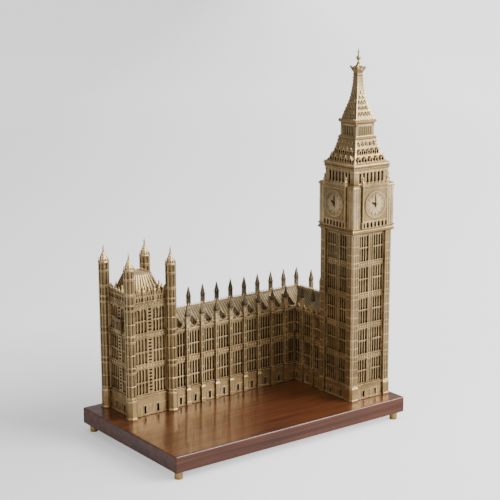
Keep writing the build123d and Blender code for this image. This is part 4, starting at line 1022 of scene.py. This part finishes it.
cast("short_wing_roof_casting", roof, ["short_wing_roof"], finish=roof_bronze,
     rows=[(rib, (ridge_end, tower_back + 3, 0), (0, 3.8, 0), 16)])
low, high = mm_box("short_wing_ridge_cresting")
count = int((high.y - low.y - 3) / 2.85)
cast("short_wing_ridge_cresting_casting", cresting(low.y, high.y), ["short_wing_ridge_cresting"],
     rows=[(spike, (low.y + 1.5, 0, ridge_z + 0.7), (2.85, 0, 0), count)], turn=1, at=(ridge_end, 0))


# ------------------------------------------------------------ tower plinth
# The tower's foot between its corner buttresses, with two doors on each side
# and a slit beside each door.

tower_plinth_top = tower_high.z - deck
face = Mold()
plinth_face(face, -22.4, 22.4, -tower_high.x + tower_x, tower_plinth_top, (-10.0, 10.0), 12.0, 8.4)
cast("tower_plinth_casting", face, ["tower_plinth"], **on_tower)


# ------------------------------------------------------------ tower buttresses
# Clustered square buttresses, one at each corner: three ribs to a side, a chamfered arris, and
# small collars that divide every stage in three.

strings = [57.5, 98.8, 140.1, 181.4]
shaft_top = mm_box("tower_buttress_front_left")[1].z - deck


def buttress_casting():
    """Local origin at the square corner; the buttress fills the +x, +y quarter."""
    corner = Mold()

    def outline(out, z):
        return [(2.0 - out * 0.4, -out, z), (11, -out, z), (11, 11, z), (-out, 11, z),
                (-out, 2.0 - out * 0.4, z)]

    corner.loft([outline(1.5, 0), outline(1.5, 1.6), outline(1.0, 2.6), outline(1.0, 16.8),
                 outline(0.1, 19.0), outline(0.1, 21)])
    corner.loft([outline(-0.9, 18), outline(-0.9, shaft_top)])
    corner.loft([[(2.0, 0.0, z), (2.2, 1.6, z), (1.6, 2.2, z), (0.0, 2.0, z)] for z in (20, shaft_top)])
    for a, b in ((2.0, 4.5), (5.5, 7.9), (8.8, 11.0)):
        corner.box(a, b, 0.0, 1.5, 20, shaft_top)
        corner.box(0.0, 1.5, a, b, 20, shaft_top)
    levels = [(20.2, 1.6, 0.5)]
    for z in strings:
        levels += [(z - 3.0, 1.1, 0.4), (z + 3.2, 1.3, 0.5)]
    for z in [18.5] + strings:
        levels += [(z + 3.2 + 10.7, 0.8, 0.22), (z + 3.2 + 21.8, 0.8, 0.22)]
    levels += [(shaft_top - 1.0, 1.6, 0.6)]
    for z, tall, out in levels:
        corner.loft([outline(-0.1, z - tall / 2), outline(out, z - tall / 6), outline(out, z + tall / 5),
                     outline(-0.1, z + tall / 2)])
    return corner


for spot, turn in (("front_left", 0), ("front_right", 1), ("back_right", 2), ("back_left", 3)):
    sx, sy = corner_spots[spot]
    cast("tower_buttress_" + spot + "_casting", buttress_casting(), ["tower_buttress_" + spot], turn=turn,
         at=(tower_x + sx * tower_half, tower_y + sy * tower_half))


# ------------------------------------------------------------ tower walls
# Four tall panels set back between the buttresses: five storeys, each with two four-light
# windows, a panelled band above and below, and a pair of ribs up the middle.

panel_half = 22.2


def tower_wall():
    wall = Mold()
    wall.box(-22.3, 22.3, 2.0, 3.0, tower_plinth_top, shaft_top)
    stages = [(22.0, strings[0] - 3.4)]
    stages += [(z + 3.6, z + 41.3 - 3.4) for z in strings]
    for z in strings:
        panel_band(wall, -panel_half, panel_half, z - 3.4, z + 3.6, 0.0, 4.1)
    wall.box(-panel_half, panel_half, 0.0, 2.2, tower_plinth_top, 22.0)
    wall.box(-panel_half, panel_half, 0.0, 2.2, stages[-1][1], shaft_top)
    for z0, z1 in stages:
        for x0, x1 in ((-20.6, -3.9), (3.9, 20.6)):
            wall.window(x0, x1, z0, z1, 4, [z0 + 0.53 * (z1 - z0)], 0.2, 2.1, 0.95)
        for x0, x1 in ((-panel_half, -20.6), (20.6, panel_half)):
            wall.box(x0, x1, -0.2, 2.2, z0, z1)
        wall.box(-3.9, 3.9, 0.4, 2.2, z0, z1)
        for a, b in ((-2.3, -0.2), (0.2, 2.3)):
            wall.light(a, b, z0, z1 - 1.0, 0.0, 0.6)
    for x in (-3.4, 3.4):
        wall.box(x - 0.75, x + 0.75, -0.6, 2.0, 21.5, shaft_top)
    wall.box(-0.35, 0.35, -0.1, 2.0, 21.5, shaft_top)
    for x in (-20.9, 20.9):
        wall.box(x - 0.5, x + 0.5, -0.5, 2.0, 21.5, shaft_top)
    return wall


recess = tower_half - 3.5
for side, turn, dx, dy in (("front", 0, 0, -1), ("right", 1, 1, 0), ("back", 2, 0, 1), ("left", 3, -1, 0)):
    cast("tower_" + side + "_wall_casting", tower_wall(), ["tower_" + side + "_wall"], turn=turn,
         at=(tower_x + dx * recess, tower_y + dy * recess))


# ------------------------------------------------------------ clock stage
# The block under the belfry, wider than the shaft: a moulded cornice beneath, panelled corner
# pilasters, and on each side a dial block standing forward over a row of arched openings.

low, high = mm_box("clock_stage")
clock_top = high.z - deck
block_out = high.x - tower_x
dial_low, dial_high = mm_box("dials")
dial_z = (dial_low.z + dial_high.z) / 2 - deck
dial_half = (dial_high.z - dial_low.z) / 2
pilaster = 34.2
block_half = 20.8
arch_pitch = 6.2
first_arch = -18.6
stage = Mold()
stage.mitre(29, [(33.4, shaft_top - 0.5), (34.4, shaft_top + 0.3), (35.4, shaft_top + 1.4),
                 (35.4, shaft_top + 2.4), (34.3, shaft_top + 3.2), (33.8, shaft_top + 4.4),
                 (33.8, 228.2), (35.1, 229.0), (35.1, 230.0), (33.0, 231.2), (33.0, clock_top - 3.8),
                 (35.0, clock_top - 3.0), (35.0, clock_top - 1.6), (34.4, clock_top - 0.8)])


def corner_outline(out, z):
    c = 1.0
    return [(-pilaster - out + c, -pilaster - out, z), (-21.4, -pilaster - out, z), (-21.4, -31, z),
            (-31, -31, z), (-31, -21.4, z), (-pilaster - out, -21.4, z),
            (-pilaster - out, -pilaster - out + c, z)]


stage.loft([corner_outline(-0.5, 230), corner_outline(-0.5, clock_top - 1)])
for a, b in ((-33.0, -29.6), (-28.8, -25.7), (-24.9, -21.6)):
    stage.box(a, b, -pilaster, -pilaster + 1.2, 230, clock_top - 1)
    stage.box(-pilaster, -pilaster + 1.2, a, b, 230, clock_top - 1)
stage.loft([[(-33.1, -34.2, z), (-32.6, -32.8, z), (-32.8, -32.6, z), (-34.2, -33.1, z)]
            for z in (230, clock_top - 1)])
for z, tall, out in ((240.5, 1.0, 0.3), (249.0, 0.9, 0.25), (258.0, 1.0, 0.3), (276.8, 1.0, 0.3)):
    stage.loft([corner_outline(-0.1, z - tall / 2), corner_outline(out, z - tall / 6),
                corner_outline(out, z + tall / 5), corner_outline(-0.1, z + tall / 2)])
y = -block_out
stage.box(-block_half, block_half, y + 3.0, -31, 229.2, clock_top)
stage.box(-block_half + 0.1, block_half - 0.1, y + 0.5, -32, 238.0, clock_top - 0.1)
stage.moulding(-block_half - 0.3, block_half + 0.3, y + 0.8, 229.8, 1.4, 0.9)
stage.moulding(-block_half, block_half, y + 0.6, 238.2, 1.1, 0.7)
stage.moulding(-block_half, block_half, y + 0.6, 279.6, 1.0, 0.7)
stage.moulding(-block_half - 0.2, block_half + 0.2, y + 0.5, clock_top - 1.2, 1.6, 0.9)
for side in (-1, 1):
    stage.box(side * 20.2 - 0.6, side * 20.2 + 0.6, y, y + 1.4, 230, clock_top - 1)
    for z in (242.6, 275.4):
        stage.polygon_stack(side * 16.6, y + 0.6, 8, [(3.4, z), (3.4, z + 0.01)])
arch = Mold()
arch.light(-1.8, 1.8, 0, 7.8, -0.6, 2.2, 2.4)
arch.box(-3.09, -1.8, -1.0, 2.2, 0, 7.7)
arch.box(1.8, 3.09, -1.0, 2.2, 0, 7.7)
cast("clock_stage_casting", stage, ["clock_stage"],
     rows=[(arch, (first_arch, y + 1.2, 230.2), (arch_pitch, 0, 0), 7)], **on_tower)


# ------------------------------------------------------------ dials
# Four round dials let into the dial blocks: a beaded rim, two finer rings, sixty minute bars,
# twelve hour marks and a rosette of tracery, all in low relief.

ring_tree, given, out = geometry_tree("ring_of_details", [("Detail", "Object"), ("Centre", "Vector"),
                                                          ("Count", "Int"), ("Finish", "Material")])
spots = wire(ring_tree, "GeometryNodeMeshLine", {"Count": given["Count"], "Start Location": given["Centre"],
                                                 "Offset": (0, 0, 0)})
share = wire(ring_tree, "ShaderNodeMath", {0: math.tau, 1: given["Count"]}, operation="DIVIDE")
angle = wire(ring_tree, "ShaderNodeMath", {0: wire(ring_tree, "GeometryNodeInputIndex").outputs[0],
                                           1: share.outputs[0]}, operation="MULTIPLY")
about = wire(ring_tree, "ShaderNodeCombineXYZ", {"Y": angle.outputs[0]})
detail = wire(ring_tree, "GeometryNodeObjectInfo", {"Object": given["Detail"]})
copies = wire(ring_tree, "GeometryNodeInstanceOnPoints", {"Points": spots.outputs[0],
                                                          "Instance": detail.outputs["Geometry"],
                                                          "Rotation": about.outputs[0]})
end_tree(ring_tree, copies.outputs[0], given, out, True)


def hoop(mold, y_front, y_back, inner, outer, sides=64):
    """A flat ring that faces -Y, as a chain of short blocks."""
    for i in range(sides):
        ring = []
        for angle in (math.tau * i / sides, math.tau * (i + 1) / sides):
            c, s = math.cos(angle), math.sin(angle)
            ring.append([(outer * c, y_back, dial_z + outer * s),
                         (inner * c, y_back, dial_z + inner * s),
                         (inner * c, y_front, dial_z + inner * s),
                         (outer * c, y_front, dial_z + outer * s)])
        mold.loft(ring)


dial = Mold()
y = -block_out
disc = [(dial_half * math.cos(math.tau * i / 48),
         dial_z + dial_half * math.sin(math.tau * i / 48)) for i in range(48)]
dial.plate(disc, y + 0.2, y + 1.2)
hoop(dial, y - 0.6, y + 0.4, dial_half - 1.7, dial_half)
hoop(dial, y - 0.3, y + 0.4, dial_half - 3.2, dial_half - 2.5)
hoop(dial, y - 0.2, y + 0.4, dial_half - 7.0, dial_half - 6.3)
hoop(dial, y - 0.15, y + 0.4, 4.2, 4.9, 32)
minute_bar = Mold()
minute_bar.box(-0.14, 0.14, -0.25, 0.3, dial_half - 4.4, dial_half - 3.1)
hour_mark = Mold()
hour_mark.box(-0.75, -0.35, -0.4, 0.3, dial_half - 6.4, dial_half - 4.2)
hour_mark.box(0.35, 0.75, -0.4, 0.3, dial_half - 6.4, dial_half - 4.2)
petal = Mold()
petal.plate([(-0.3, 4.6), (0.3, 4.6), (1.3, 8.2), (0.3, dial_half - 6.8), (-0.3, dial_half - 6.8),
             (-1.3, 8.2)], -0.1, 0.3)


def ringed(name, mold, nodes, rings, **rest):
    """A casting with details set round a centre on the side that faces -Y, then cast as usual."""
    scene = bpy.context.scene.collection.objects
    whole = bpy.data.objects.new(name + "_rings", mold.mesh(name))
    scene.link(whole)
    details = []
    for detail, centre, count in rings:
        lone = lone_detail(name + "_detail", name + "_detail", detail)
        details.append(lone)
        modifier = whole.modifiers.new("ring", "NODES")
        modifier.node_group = ring_tree
        set_inputs(modifier, {"Detail": lone, "Centre": (centre[0] * MM, centre[1] * MM,
                                                         (centre[2] + deck) * MM), "Count": count,
                              "Finish": antique_brass})
    done = bpy.data.meshes.new_from_object(whole.evaluated_get(bpy.context.evaluated_depsgraph_get()))
    both = Mold()
    both.points = [(v.co.x / MM, v.co.y / MM, v.co.z / MM - deck) for v in done.vertices]
    both.faces = [tuple(p.vertices) for p in done.polygons]
    for lone in details + [whole]:
        bpy.data.objects.remove(lone)
    cast(name, both, nodes, **rest)


centre = (0, y, dial_z)
ringed("dial_castings", dial, ["dials"], [(minute_bar, centre, 60), (hour_mark, centre, 12),
                                          (petal, centre, 12)], **on_tower)


# ------------------------------------------------------------ clock hands
# A long and a short hand cast in relief on each dial, left dark so they read against the brass.
# They do not turn.

# Colours: painted edge highlight, metal body, painted recess shade.
dark_hands = cast_metal("darkened_brass", rgb(90, 70, 44), rgb(44, 32, 18), rgb(16, 11, 6), 0.002, 0.4,
                        0.6, 0.00003)
hands = Mold()
hands.plate(raised(dial_z, [(-0.75, -3.4), (0.75, -3.4), (0.55, 8.0), (0, 11.8), (-0.55, 8.0)]), y - 0.6,
            y + 0.25)
hour = [(-0.95, -1.6), (0.95, -1.6), (1.1, 4.6), (0, 7.6), (-1.1, 4.6)]
lean = math.radians(62)
hands.plate([(a * math.cos(lean) - b * math.sin(lean), dial_z + a * math.sin(lean) + b * math.cos(lean))
             for a, b in hour], y - 0.55, y + 0.25)
knob = [(1.5 * math.cos(math.tau * i / 12), dial_z + 1.5 * math.sin(math.tau * i / 12)) for i in range(12)]
hands.plate(knob, y - 0.68, y + 0.2)
cast("clock_hand_castings", hands, ["clock_hands"], **on_tower, finish=dark_hands)


# ------------------------------------------------------------ battlement
# A rail round the foot of the belfry with small merlons over each dial and a knopped post at
# both ends of every dial block.

top = mm_box("battlement")[1].z - deck
rail = Mold()
rail.mitre(28, [(34.0, clock_top - 1.0), (34.0, clock_top + 0.4), (33.4, clock_top + 0.9)])
rail.box(-block_half - 0.5, block_half + 0.5, y - 0.4, -33, clock_top - 0.2, clock_top + 1.2)
rail.box(-block_half - 0.3, block_half + 0.3, y + 0.2, -34.5, clock_top + 1.0, clock_top + 2.6)
merlon = Mold()
merlon.plate([(-1.5, 0), (1.5, 0), (1.5, 2.0), (0, 3.6), (-1.5, 2.0)], -0.2, 1.4)
for x in (-20.4, 20.4):
    rail.polygon_stack(x, y + 1.4, 4, raised(clock_top, [(3.0, 0), (3.0, 4.6), (3.7, 5.2), (2.2, 6.2),
                                                         (1.4, 8.6)]))
    rail.polygon_stack(x, y + 1.4, 8, raised(top, [(1.3, -4.2), (2.6, -3.2), (2.8, -2.4), (2.2, -1.4),
                                                   (0.5, 0)]))
cast("battlement_casting", rail, ["battlement"], rows=[(merlon, (first_arch, y + 0.3, clock_top + 2.4),
                                                        (arch_pitch, 0, 0), 7)], **on_tower)


# ------------------------------------------------------------ belfry
# An open arcade: seven tall arched slots between shafts on each side, with clustered corner
# piers and a moulded head.

low, high = mm_box("belfry_arcade")
belfry_top = high.z - deck
half = high.x - tower_x
arcade = Mold()
y = -half
arcade.mitre(half - 4, [(half - 2.4, clock_top), (half - 2.4, belfry_top)])
arcade.mitre(half - 4, [(half, clock_top), (half, clock_top + 1.8), (half - 0.5, clock_top + 2.4)])
arcade.box(-half, -half + 1.7, y, y + 1.7, clock_top + 1, belfry_top - 0.6)
for a, b in ((2.2, 3.7), (4.3, 5.6)):
    arcade.box(-half + a, -half + b, y, y + 1.6, clock_top + 1, belfry_top - 0.6)
    arcade.box(half - b, half - a, y, y + 1.6, clock_top + 1, belfry_top - 0.6)
arcade.mitre(half - 4, [(half - 0.8, clock_top), (half - 0.8, clock_top + 3)])
arcade.box(-half + 0.6, -half + 5.4, y + 0.6, y + 3.1, clock_top, belfry_top)
arcade.box(half - 5.4, half - 0.7, y + 0.61, y + 3, clock_top, belfry_top)
arcade.mitre(half - 4, raised(belfry_top, [(half - 0.2, -3.6), (half + 0.7, -2.8), (half + 0.7, -2.0),
                                           (half + 0.2, -1.4), (half + 0.2, 0)]))
shaft = Mold()
shaft.box(-1.5, 1.5, 0.3, 2.8, 0, belfry_top - clock_top - 2)
shaft.box(-0.6, 0.6, -0.1, 2.0, 0, belfry_top - clock_top - 2)
head = Mold()
head.light(-1.6, 1.6, 0, belfry_top - clock_top - 2.2, 0.4, 2.6, 2.6)
cast("belfry_casting", arcade, ["belfry_arcade"],
     rows=[(shaft, (-21.7, y, clock_top + 1), (arch_pitch, 0, 0), 8),
           (head, (first_arch, y, clock_top + 1), (arch_pitch, 0, 0), 7)], **on_tower)


# ------------------------------------------------------------ lower roof
# The steep swept roof over the belfry, with a double eaves cornice, rolls on the hips with
# crockets, and fine seams down each slope.

low, high = mm_box("lower_roof")
roof_base, roof_top = low.z - deck, high.z - deck
levels = [(30.0, 309.8), (27.2, 311.6), (24.6, 315.0), (22.4, 319.2), (20.6, 324.4), (19.0, 330.0),
          (17.8, 335.2), (16.9, roof_top)]
lower = Mold()
lower.mitre(0.5, [(29.0, roof_base), (29.0, roof_base + 1.0), (30.2, roof_base + 2.0),
                  (30.2, roof_base + 3.0), (29.4, roof_base + 3.6), (29.4, roof_base + 4.4),
                  (30.5, roof_base + 5.2), (30.5, roof_base + 6.4), (30.0, 309.8)])
lower.mitre(0.5, levels)


def hip_roll(mold, levels, thick):
    """A square roll up the -x, -y hip of a swept roof."""
    rings = []
    for h, z in levels:
        near, far = -h - thick * 0.3, -h + thick
        rings.append([(near, near, z), (far, near, z + 0.1), (far, far, z + 0.1), (near, far, z + 0.1)])
    mold.loft(rings)


def crockets(mold, levels, spacing, size):
    """Leaf knobs up the -x, -y hip."""
    for (h0, z0), (h1, z1) in zip(levels, levels[1:]):
        count = max(1, int((z1 - z0) / spacing))
        for i in range(count):
            t = (i + 0.5) / count
            h, z = h0 + (h1 - h0) * t + 0.25, z0 + (z1 - z0) * t
            mold.polygon_stack(-h, -h, 4, [(size * 0.3, z - size * 0.6), (size, z),
                                           (size * 0.3, z + size * 0.7)])


def seams(mold, levels, most, spread, half, deep):
    """Fine seams up a slope, most of them to each side of the middle one."""
    for i in range(-most, most + 1):
        mold.loft([[(i / spread * h + side, -h + back, z)
                    for side, back in ((-half, -half), (half, -half), (half, deep), (-half, deep))]
                   for h, z in levels])


hip_roll(lower, levels, 1.1)
crockets(lower, levels, 2.6, 1.5)
seams(lower, levels, 6, 6.6, 0.25, 0.6)
tooth = Mold()
tooth.polygon_stack(0, 0, 4, [(1.1, 0), (1.5, 0.8), (0.4, 2.0)])
cast("lower_roof_casting", lower, ["lower_roof"], rows=[(tooth, (-28, -29.8, roof_base + 6.4), (4, 0, 0),
                                                         15)], **on_tower)


# ------------------------------------------------------------ roof dormers
# Three rows of small pointed dormers on every slope of the lower roof, each with an open lancet
# under its gable and a bud on its point.

def dormer_detail(deep, tall):
    """A gabled dormer: front at y = 0, running back into the slope."""
    house = Mold()
    w = tall * 0.26
    for side in (-1, 1):
        house.box(side * w - 0.35, side * w + 0.35, 0, deep, 0, tall * 0.55)
        house.plate([(side * (w + 0.7), tall * 0.5), (side * (w + 0.7), tall * 0.62), (0, tall),
                     (0, tall * 0.8), (side * (w - 0.5), tall * 0.5)][::side], -0.3, deep)
    house.box(-w, w, deep - 0.8, deep, 0, tall * 0.6)
    house.polygon_stack(0, 0, 4, [(0.6, tall - 0.4), (1.1, tall + 0.4), (0.3, tall + 1.8)])
    return house


low, high = mm_box("lower_roof_dormers")
cast("roof_dormer_castings", Mold(), ["lower_roof_dormers"],
     rows=[(dormer_detail(4.6, 8.2), (-19.2, -27.4, 311.6), (9.6, 0, 0), 5),
           (dormer_detail(3.8, 7.4), (-14.6, -22.8, 321.6), (7.3, 0, 0), 5),
           (dormer_detail(2.6, 4.6), (-12.9, -19.2, 332.0), (6.4, 0, 0), 5)], **on_tower)


# ------------------------------------------------------------ lantern
# A square lantern between the two roofs: moulded base and head, six arched openings a side,
# and a row of knobs on the head.

low, high = mm_box("lantern")
z1 = high.z - deck
z0 = z1 - 24.5
body = Mold()
body.mitre(9, raised(z0, [(16.6, 0), (17.6, 1.0), (17.6, 2.6), (16.2, 3.6), (15.5, 4.8)]))
body.mitre(8, [(12.6, z0 + 4), (12.6, z1 - 6)])
body.mitre(8.5, raised(z1, [(15.1, -7.4), (15.1, -4.6), (16.4, -3.6), (17.5, -2.6), (17.5, -0.9),
                            (16.4, 0), (14.6, 0.3)]))
body.box(-15.1, -13.5, -15.1, -13.5, z0 + 4.6, z1 - 6)
for a, b in ((-13.0, -11.9), (11.9, 13.0)):
    body.box(a, b, -15.1, -13.3, z0 + 4.6, z1 - 6)
for a, b in ((-14.7, -11.8), (11.8, 14.6)):
    body.box(a, b, -14.6, -13.0, z0 + 4.6, z1 - 6)
tall = z1 - z0 - 11
column = Mold()
column.box(-0.8, 0.8, 0, 2.2, 0, tall)
top_light = Mold()
top_light.light(-1.2, 1.2, 0, tall, 0.3, 2.2, 2.0)
knob = Mold()
knob.polygon_stack(0, 0, 4, [(1.0, 0), (1.4, 0.8), (0.3, 2.0)])
cast("lantern_casting", body, ["lantern"], rows=[(column, (-10.2, -15.0, z0 + 4.8), (3.4, 0, 0), 7),
                                                 (top_light, (-8.5, -15.0, z0 + 4.8), (3.4, 0, 0), 6),
                                                 (knob, (-15.6, -16.6, z1 - 0.4), (3.9, 0, 0), 9)],
     **on_tower)


# ------------------------------------------------------------ upper spire
# The slender swept spire, with rolls and crockets up its hips and rows of little lucarnes that
# grow smaller up each slope.

low, high = mm_box("upper_spire")
z1 = high.z - deck
levels = raised(z1, [(14.5, -55.0), (13.9, -53.0), (12.7, -48.0), (11.2, -43.0), (9.9, -38.9),
                     (8.6, -34.6), (7.4, -30.0), (6.2, -24.0), (5.2, -17.0), (4.4, -9.0), (4.0, 0)])
spire = Mold()
spire.mitre(0.3, levels)
hip_roll(spire, levels, 0.9)
crockets(spire, levels[1:], 3.2, 1.3)
seams(spire, levels, 2, 3.0, 0.18, 0.5)
cast("upper_spire_casting", spire, ["upper_spire"],
     rows=[(dormer_detail(3.4, 6.2), (-7.8, -13.6, z1 - 51.5), (5.2, 0, 0), 4),
           (dormer_detail(3.0, 5.6), (-5.4, -11.4, z1 - 43.6), (5.4, 0, 0), 3),
           (dormer_detail(2.6, 5.0), (-4.4, -9.3, z1 - 36.6), (4.4, 0, 0), 3),
           (dormer_detail(2.4, 4.6), (-2.4, -7.6, z1 - 30.4), (4.8, 0, 0), 2),
           (dormer_detail(2.0, 4.0), (0, -6.3, z1 - 24.2), (0, 0, 0), 1)],
     **on_tower)


# ------------------------------------------------------------ crown
# The moulded cap of the spire, with a splayed arm and bud at each corner
# and a small gable on each side.

low, high = mm_box("crown")
z1 = high.z - deck
z0 = z1 - 12.0
cap = Mold()
cap.mitre(0.2, raised(z0, [(3.9, 0), (4.7, 0.9), (4.7, 1.9), (4.1, 2.8), (4.4, 4.6), (5.6, 6.6),
                           (6.0, 8.0), (6.0, 10.4), (4.6, 11.4), (2.6, 12.6), (1.4, 14.6)]))
cap.loft([[(-4.2, -3.4, z0 + 4.0), (-3.4, -4.2, z0 + 4.0), (-2.8, -3.0, z0 + 4.0),
           (-3.0, -2.8, z0 + 4.0)], [(-7.0, -6.0, z0 + 8.4), (-6.0, -7.0, z0 + 8.4),
                                     (-5.0, -5.4, z0 + 8.0), (-5.4, -5.0, z0 + 8.0)],
          [(-7.2, -6.2, z0 + 10.0), (-6.2, -7.2, z0 + 10.0), (-5.2, -5.6, z0 + 10.0),
           (-5.6, -5.2, z0 + 10.0)]])
cap.polygon_stack(-6.5, -6.5, 4, raised(z0, [(1.0, 9.6), (2.2, 10.4), (2.0, 11.6), (0.6, 13.0)]))
cap.plate([(-2.0, z0 + 6.8), (2.0, z0 + 6.8), (0, z0 + 10.2)], -6.5, -5.0)
cast("crown_casting", cap, ["crown"], **on_tower)


# ------------------------------------------------------------ finial
# A turned rod with a collar, an orb with four short arms, and a small cross
# at the very top.

low, high = mm_box("finial")
z1 = high.z - deck
z0 = z1 - 23.0
rod = Mold()
rod.polygon_stack(0, 0, 8, [(2.4, z0), (2.4, z0 + 2.6), (4.2, z0 + 3.4), (4.2, z0 + 4.8),
                            (2.0, z0 + 5.6), (2.0, z0 + 7.6), (3.8, z0 + 8.6), (4.8, z0 + 10.0),
                            (4.8, z0 + 11.4), (3.6, z0 + 13.0), (1.8, z0 + 14.0), (1.6, z0 + 16.6),
                            (2.6, z0 + 17.4), (2.4, z0 + 18.6), (1.3, z0 + 19.2), (1.1, z1 - 1.6),
                            (0.4, z1)])
rod.box(-4.3, 4.3, -0.6, 0.6, z0 + 10.1, z0 + 11.3)
rod.box(-0.6, 0.6, -4.3, 4.3, z0 + 10.1, z0 + 11.3)
rod.box(-2.2, 2.2, -0.5, 0.5, z1 - 4.4, z1 - 3.4)
cast("finial_casting", rod, ["finial"], at=(tower_x, tower_y))


# ------------------------------------------------------------ stage
# A plain pale paper floor under three soft boxes in a pale room, and the camera that looks at
# the front-left corner of the board from a little above. The floor glows, more with distance so the
# backdrop reads evenly bright, with painted light growing towards the key light's side and a painted
# soft shadow just left of the board.

floor_data = bpy.data.meshes.new("floor")
floor_data.from_pydata([(-40, -40, 0), (40, -40, 0), (40, 40, 0), (-40, 40, 0)], [], [(0, 1, 2, 3)])
floor = bpy.data.objects.new("floor", floor_data)
bpy.context.scene.collection.objects.link(floor)
paper_with_painted_light, tree, shader = new_material("pale_paper_painted_light")
seen = wire(tree, "ShaderNodeLightPath").outputs["Is Camera Ray"]
tone = colour_mix(tree, seen, (0.5, 0.5, 0.52, 1), (0.9, 0.9, 0.91, 1))
tree.links.new(tone, shader.inputs["Base Color"])
away = wire(tree, "ShaderNodeVectorMath", {0: wire(tree, "ShaderNodeTexCoord").outputs["Object"]},
            operation="LENGTH").outputs["Value"]
lift = scale_to(tree, away, 0.5, 4.0, 0.50, 1.05)
across = wire(tree, "ShaderNodeVectorMath", {0: wire(tree, "ShaderNodeTexCoord").outputs["Object"],
                                             1: (0.8, -0.6, 0.0)}, operation="DOT_PRODUCT").outputs["Value"]
# Painted light: the floor glows more towards the key light's side.
lean = scale_to(tree, across, -0.8, 0.9, -0.05, 0.85)
lift = wire(tree, "ShaderNodeMath", {0: lift, 1: lean}, operation="ADD").outputs[0]
# Painted shadow: less glow close to the board on its left, a soft cast shadow.
near = wire(tree, "ShaderNodeMath", {0: scale_to(tree, away, 0.18, 0.6, -0.5, 0.0),
                                     1: scale_to(tree, across, -0.26, 0.02, 1.0, 0.0)},
            operation="MULTIPLY").outputs[0]
lift = wire(tree, "ShaderNodeMath", {0: lift, 1: near}, operation="ADD").outputs[0]
lift = wire(tree, "ShaderNodeMath", {0: lift, 1: seen}, operation="MULTIPLY").outputs[0]
shader.inputs["Emission Color"].default_value = (1, 1, 1, 1)
tree.links.new(lift, shader.inputs["Emission Strength"])
shader.inputs["Roughness"].default_value = 0.95
shader.inputs["Specular IOR Level"].default_value = 0.1
floor.data.materials.append(paper_with_painted_light)

room = bpy.data.worlds.new("pale_room")
bpy.context.scene.world = room
room.use_nodes = True
tree = room.node_tree
background = tree.nodes["Background"]
way = wire(tree, "ShaderNodeTexCoord").outputs["Generated"]
split = wire(tree, "ShaderNodeSeparateXYZ", {0: way})
side = wire(tree, "ShaderNodeMath", {0: split.outputs["X"], 1: 0.55}, operation="MULTIPLY")
front = wire(tree, "ShaderNodeMath", {0: split.outputs["Y"], 1: -0.3}, operation="MULTIPLY").outputs[0]
both = wire(tree, "ShaderNodeMath", {0: side.outputs[0], 1: front}, operation="ADD").outputs[0]
level = scale_to(tree, both, -0.6, 0.6, 0.18, 0.62)
tree.links.new(level, background.inputs["Strength"])
background.inputs["Color"].default_value = (0.95, 0.97, 1.0, 1)


def soft_box(name, azimuth, elevation, distance, wide, tall, watts, aim):
    """An area light on a circle about the model; azimuth runs from the front towards the right."""
    data = bpy.data.lights.new(name, "AREA")
    data.shape = "RECTANGLE"
    data.size, data.size_y = wide, tall
    data.energy = watts
    light = bpy.data.objects.new(name, data)
    bpy.context.scene.collection.objects.link(light)
    a, e = math.radians(azimuth), math.radians(elevation)
    aim = Vector(aim)
    light.location = aim + distance * Vector((math.sin(a) * math.cos(e), -math.cos(a) * math.cos(e),
                                              math.sin(e)))
    light.rotation_euler = (aim - light.location).to_track_quat("-Z", "Y").to_euler()
    return light


soft_box("key_box", 42, 30, 3.0, 2.0, 2.0, 142, (0, 0, 0.2))
soft_box("fill_box", -72, 24, 3.0, 2.0, 2.0, 16, (0, 0, 0.2))
soft_box("top_box", 0, 80, 2.6, 2.0, 2.0, 16, (0, 0, 0.2))

camera_data = bpy.data.cameras.new("camera")
camera_data.sensor_width = 36
camera_data.lens = 95.49
camera = bpy.data.objects.new("camera", camera_data)
bpy.context.scene.collection.objects.link(camera)
azimuth, elevation, roll = math.radians(-36.438), math.radians(12.737), math.radians(-0.178)
back = Vector((math.sin(azimuth) * math.cos(elevation), -math.cos(azimuth) * math.cos(elevation),
               math.sin(elevation)))
right = Vector((math.cos(azimuth), math.sin(azimuth), 0))
up = back.cross(right)
right, up = right * math.cos(roll) + up * math.sin(roll), up * math.cos(roll) - right * math.sin(roll)
stand = Matrix((right, up, back)).transposed().to_4x4()
stand.translation = Vector((-0.9709, -1.3264, 0.6060))
camera.matrix_world = stand
bpy.context.scene.camera = camera
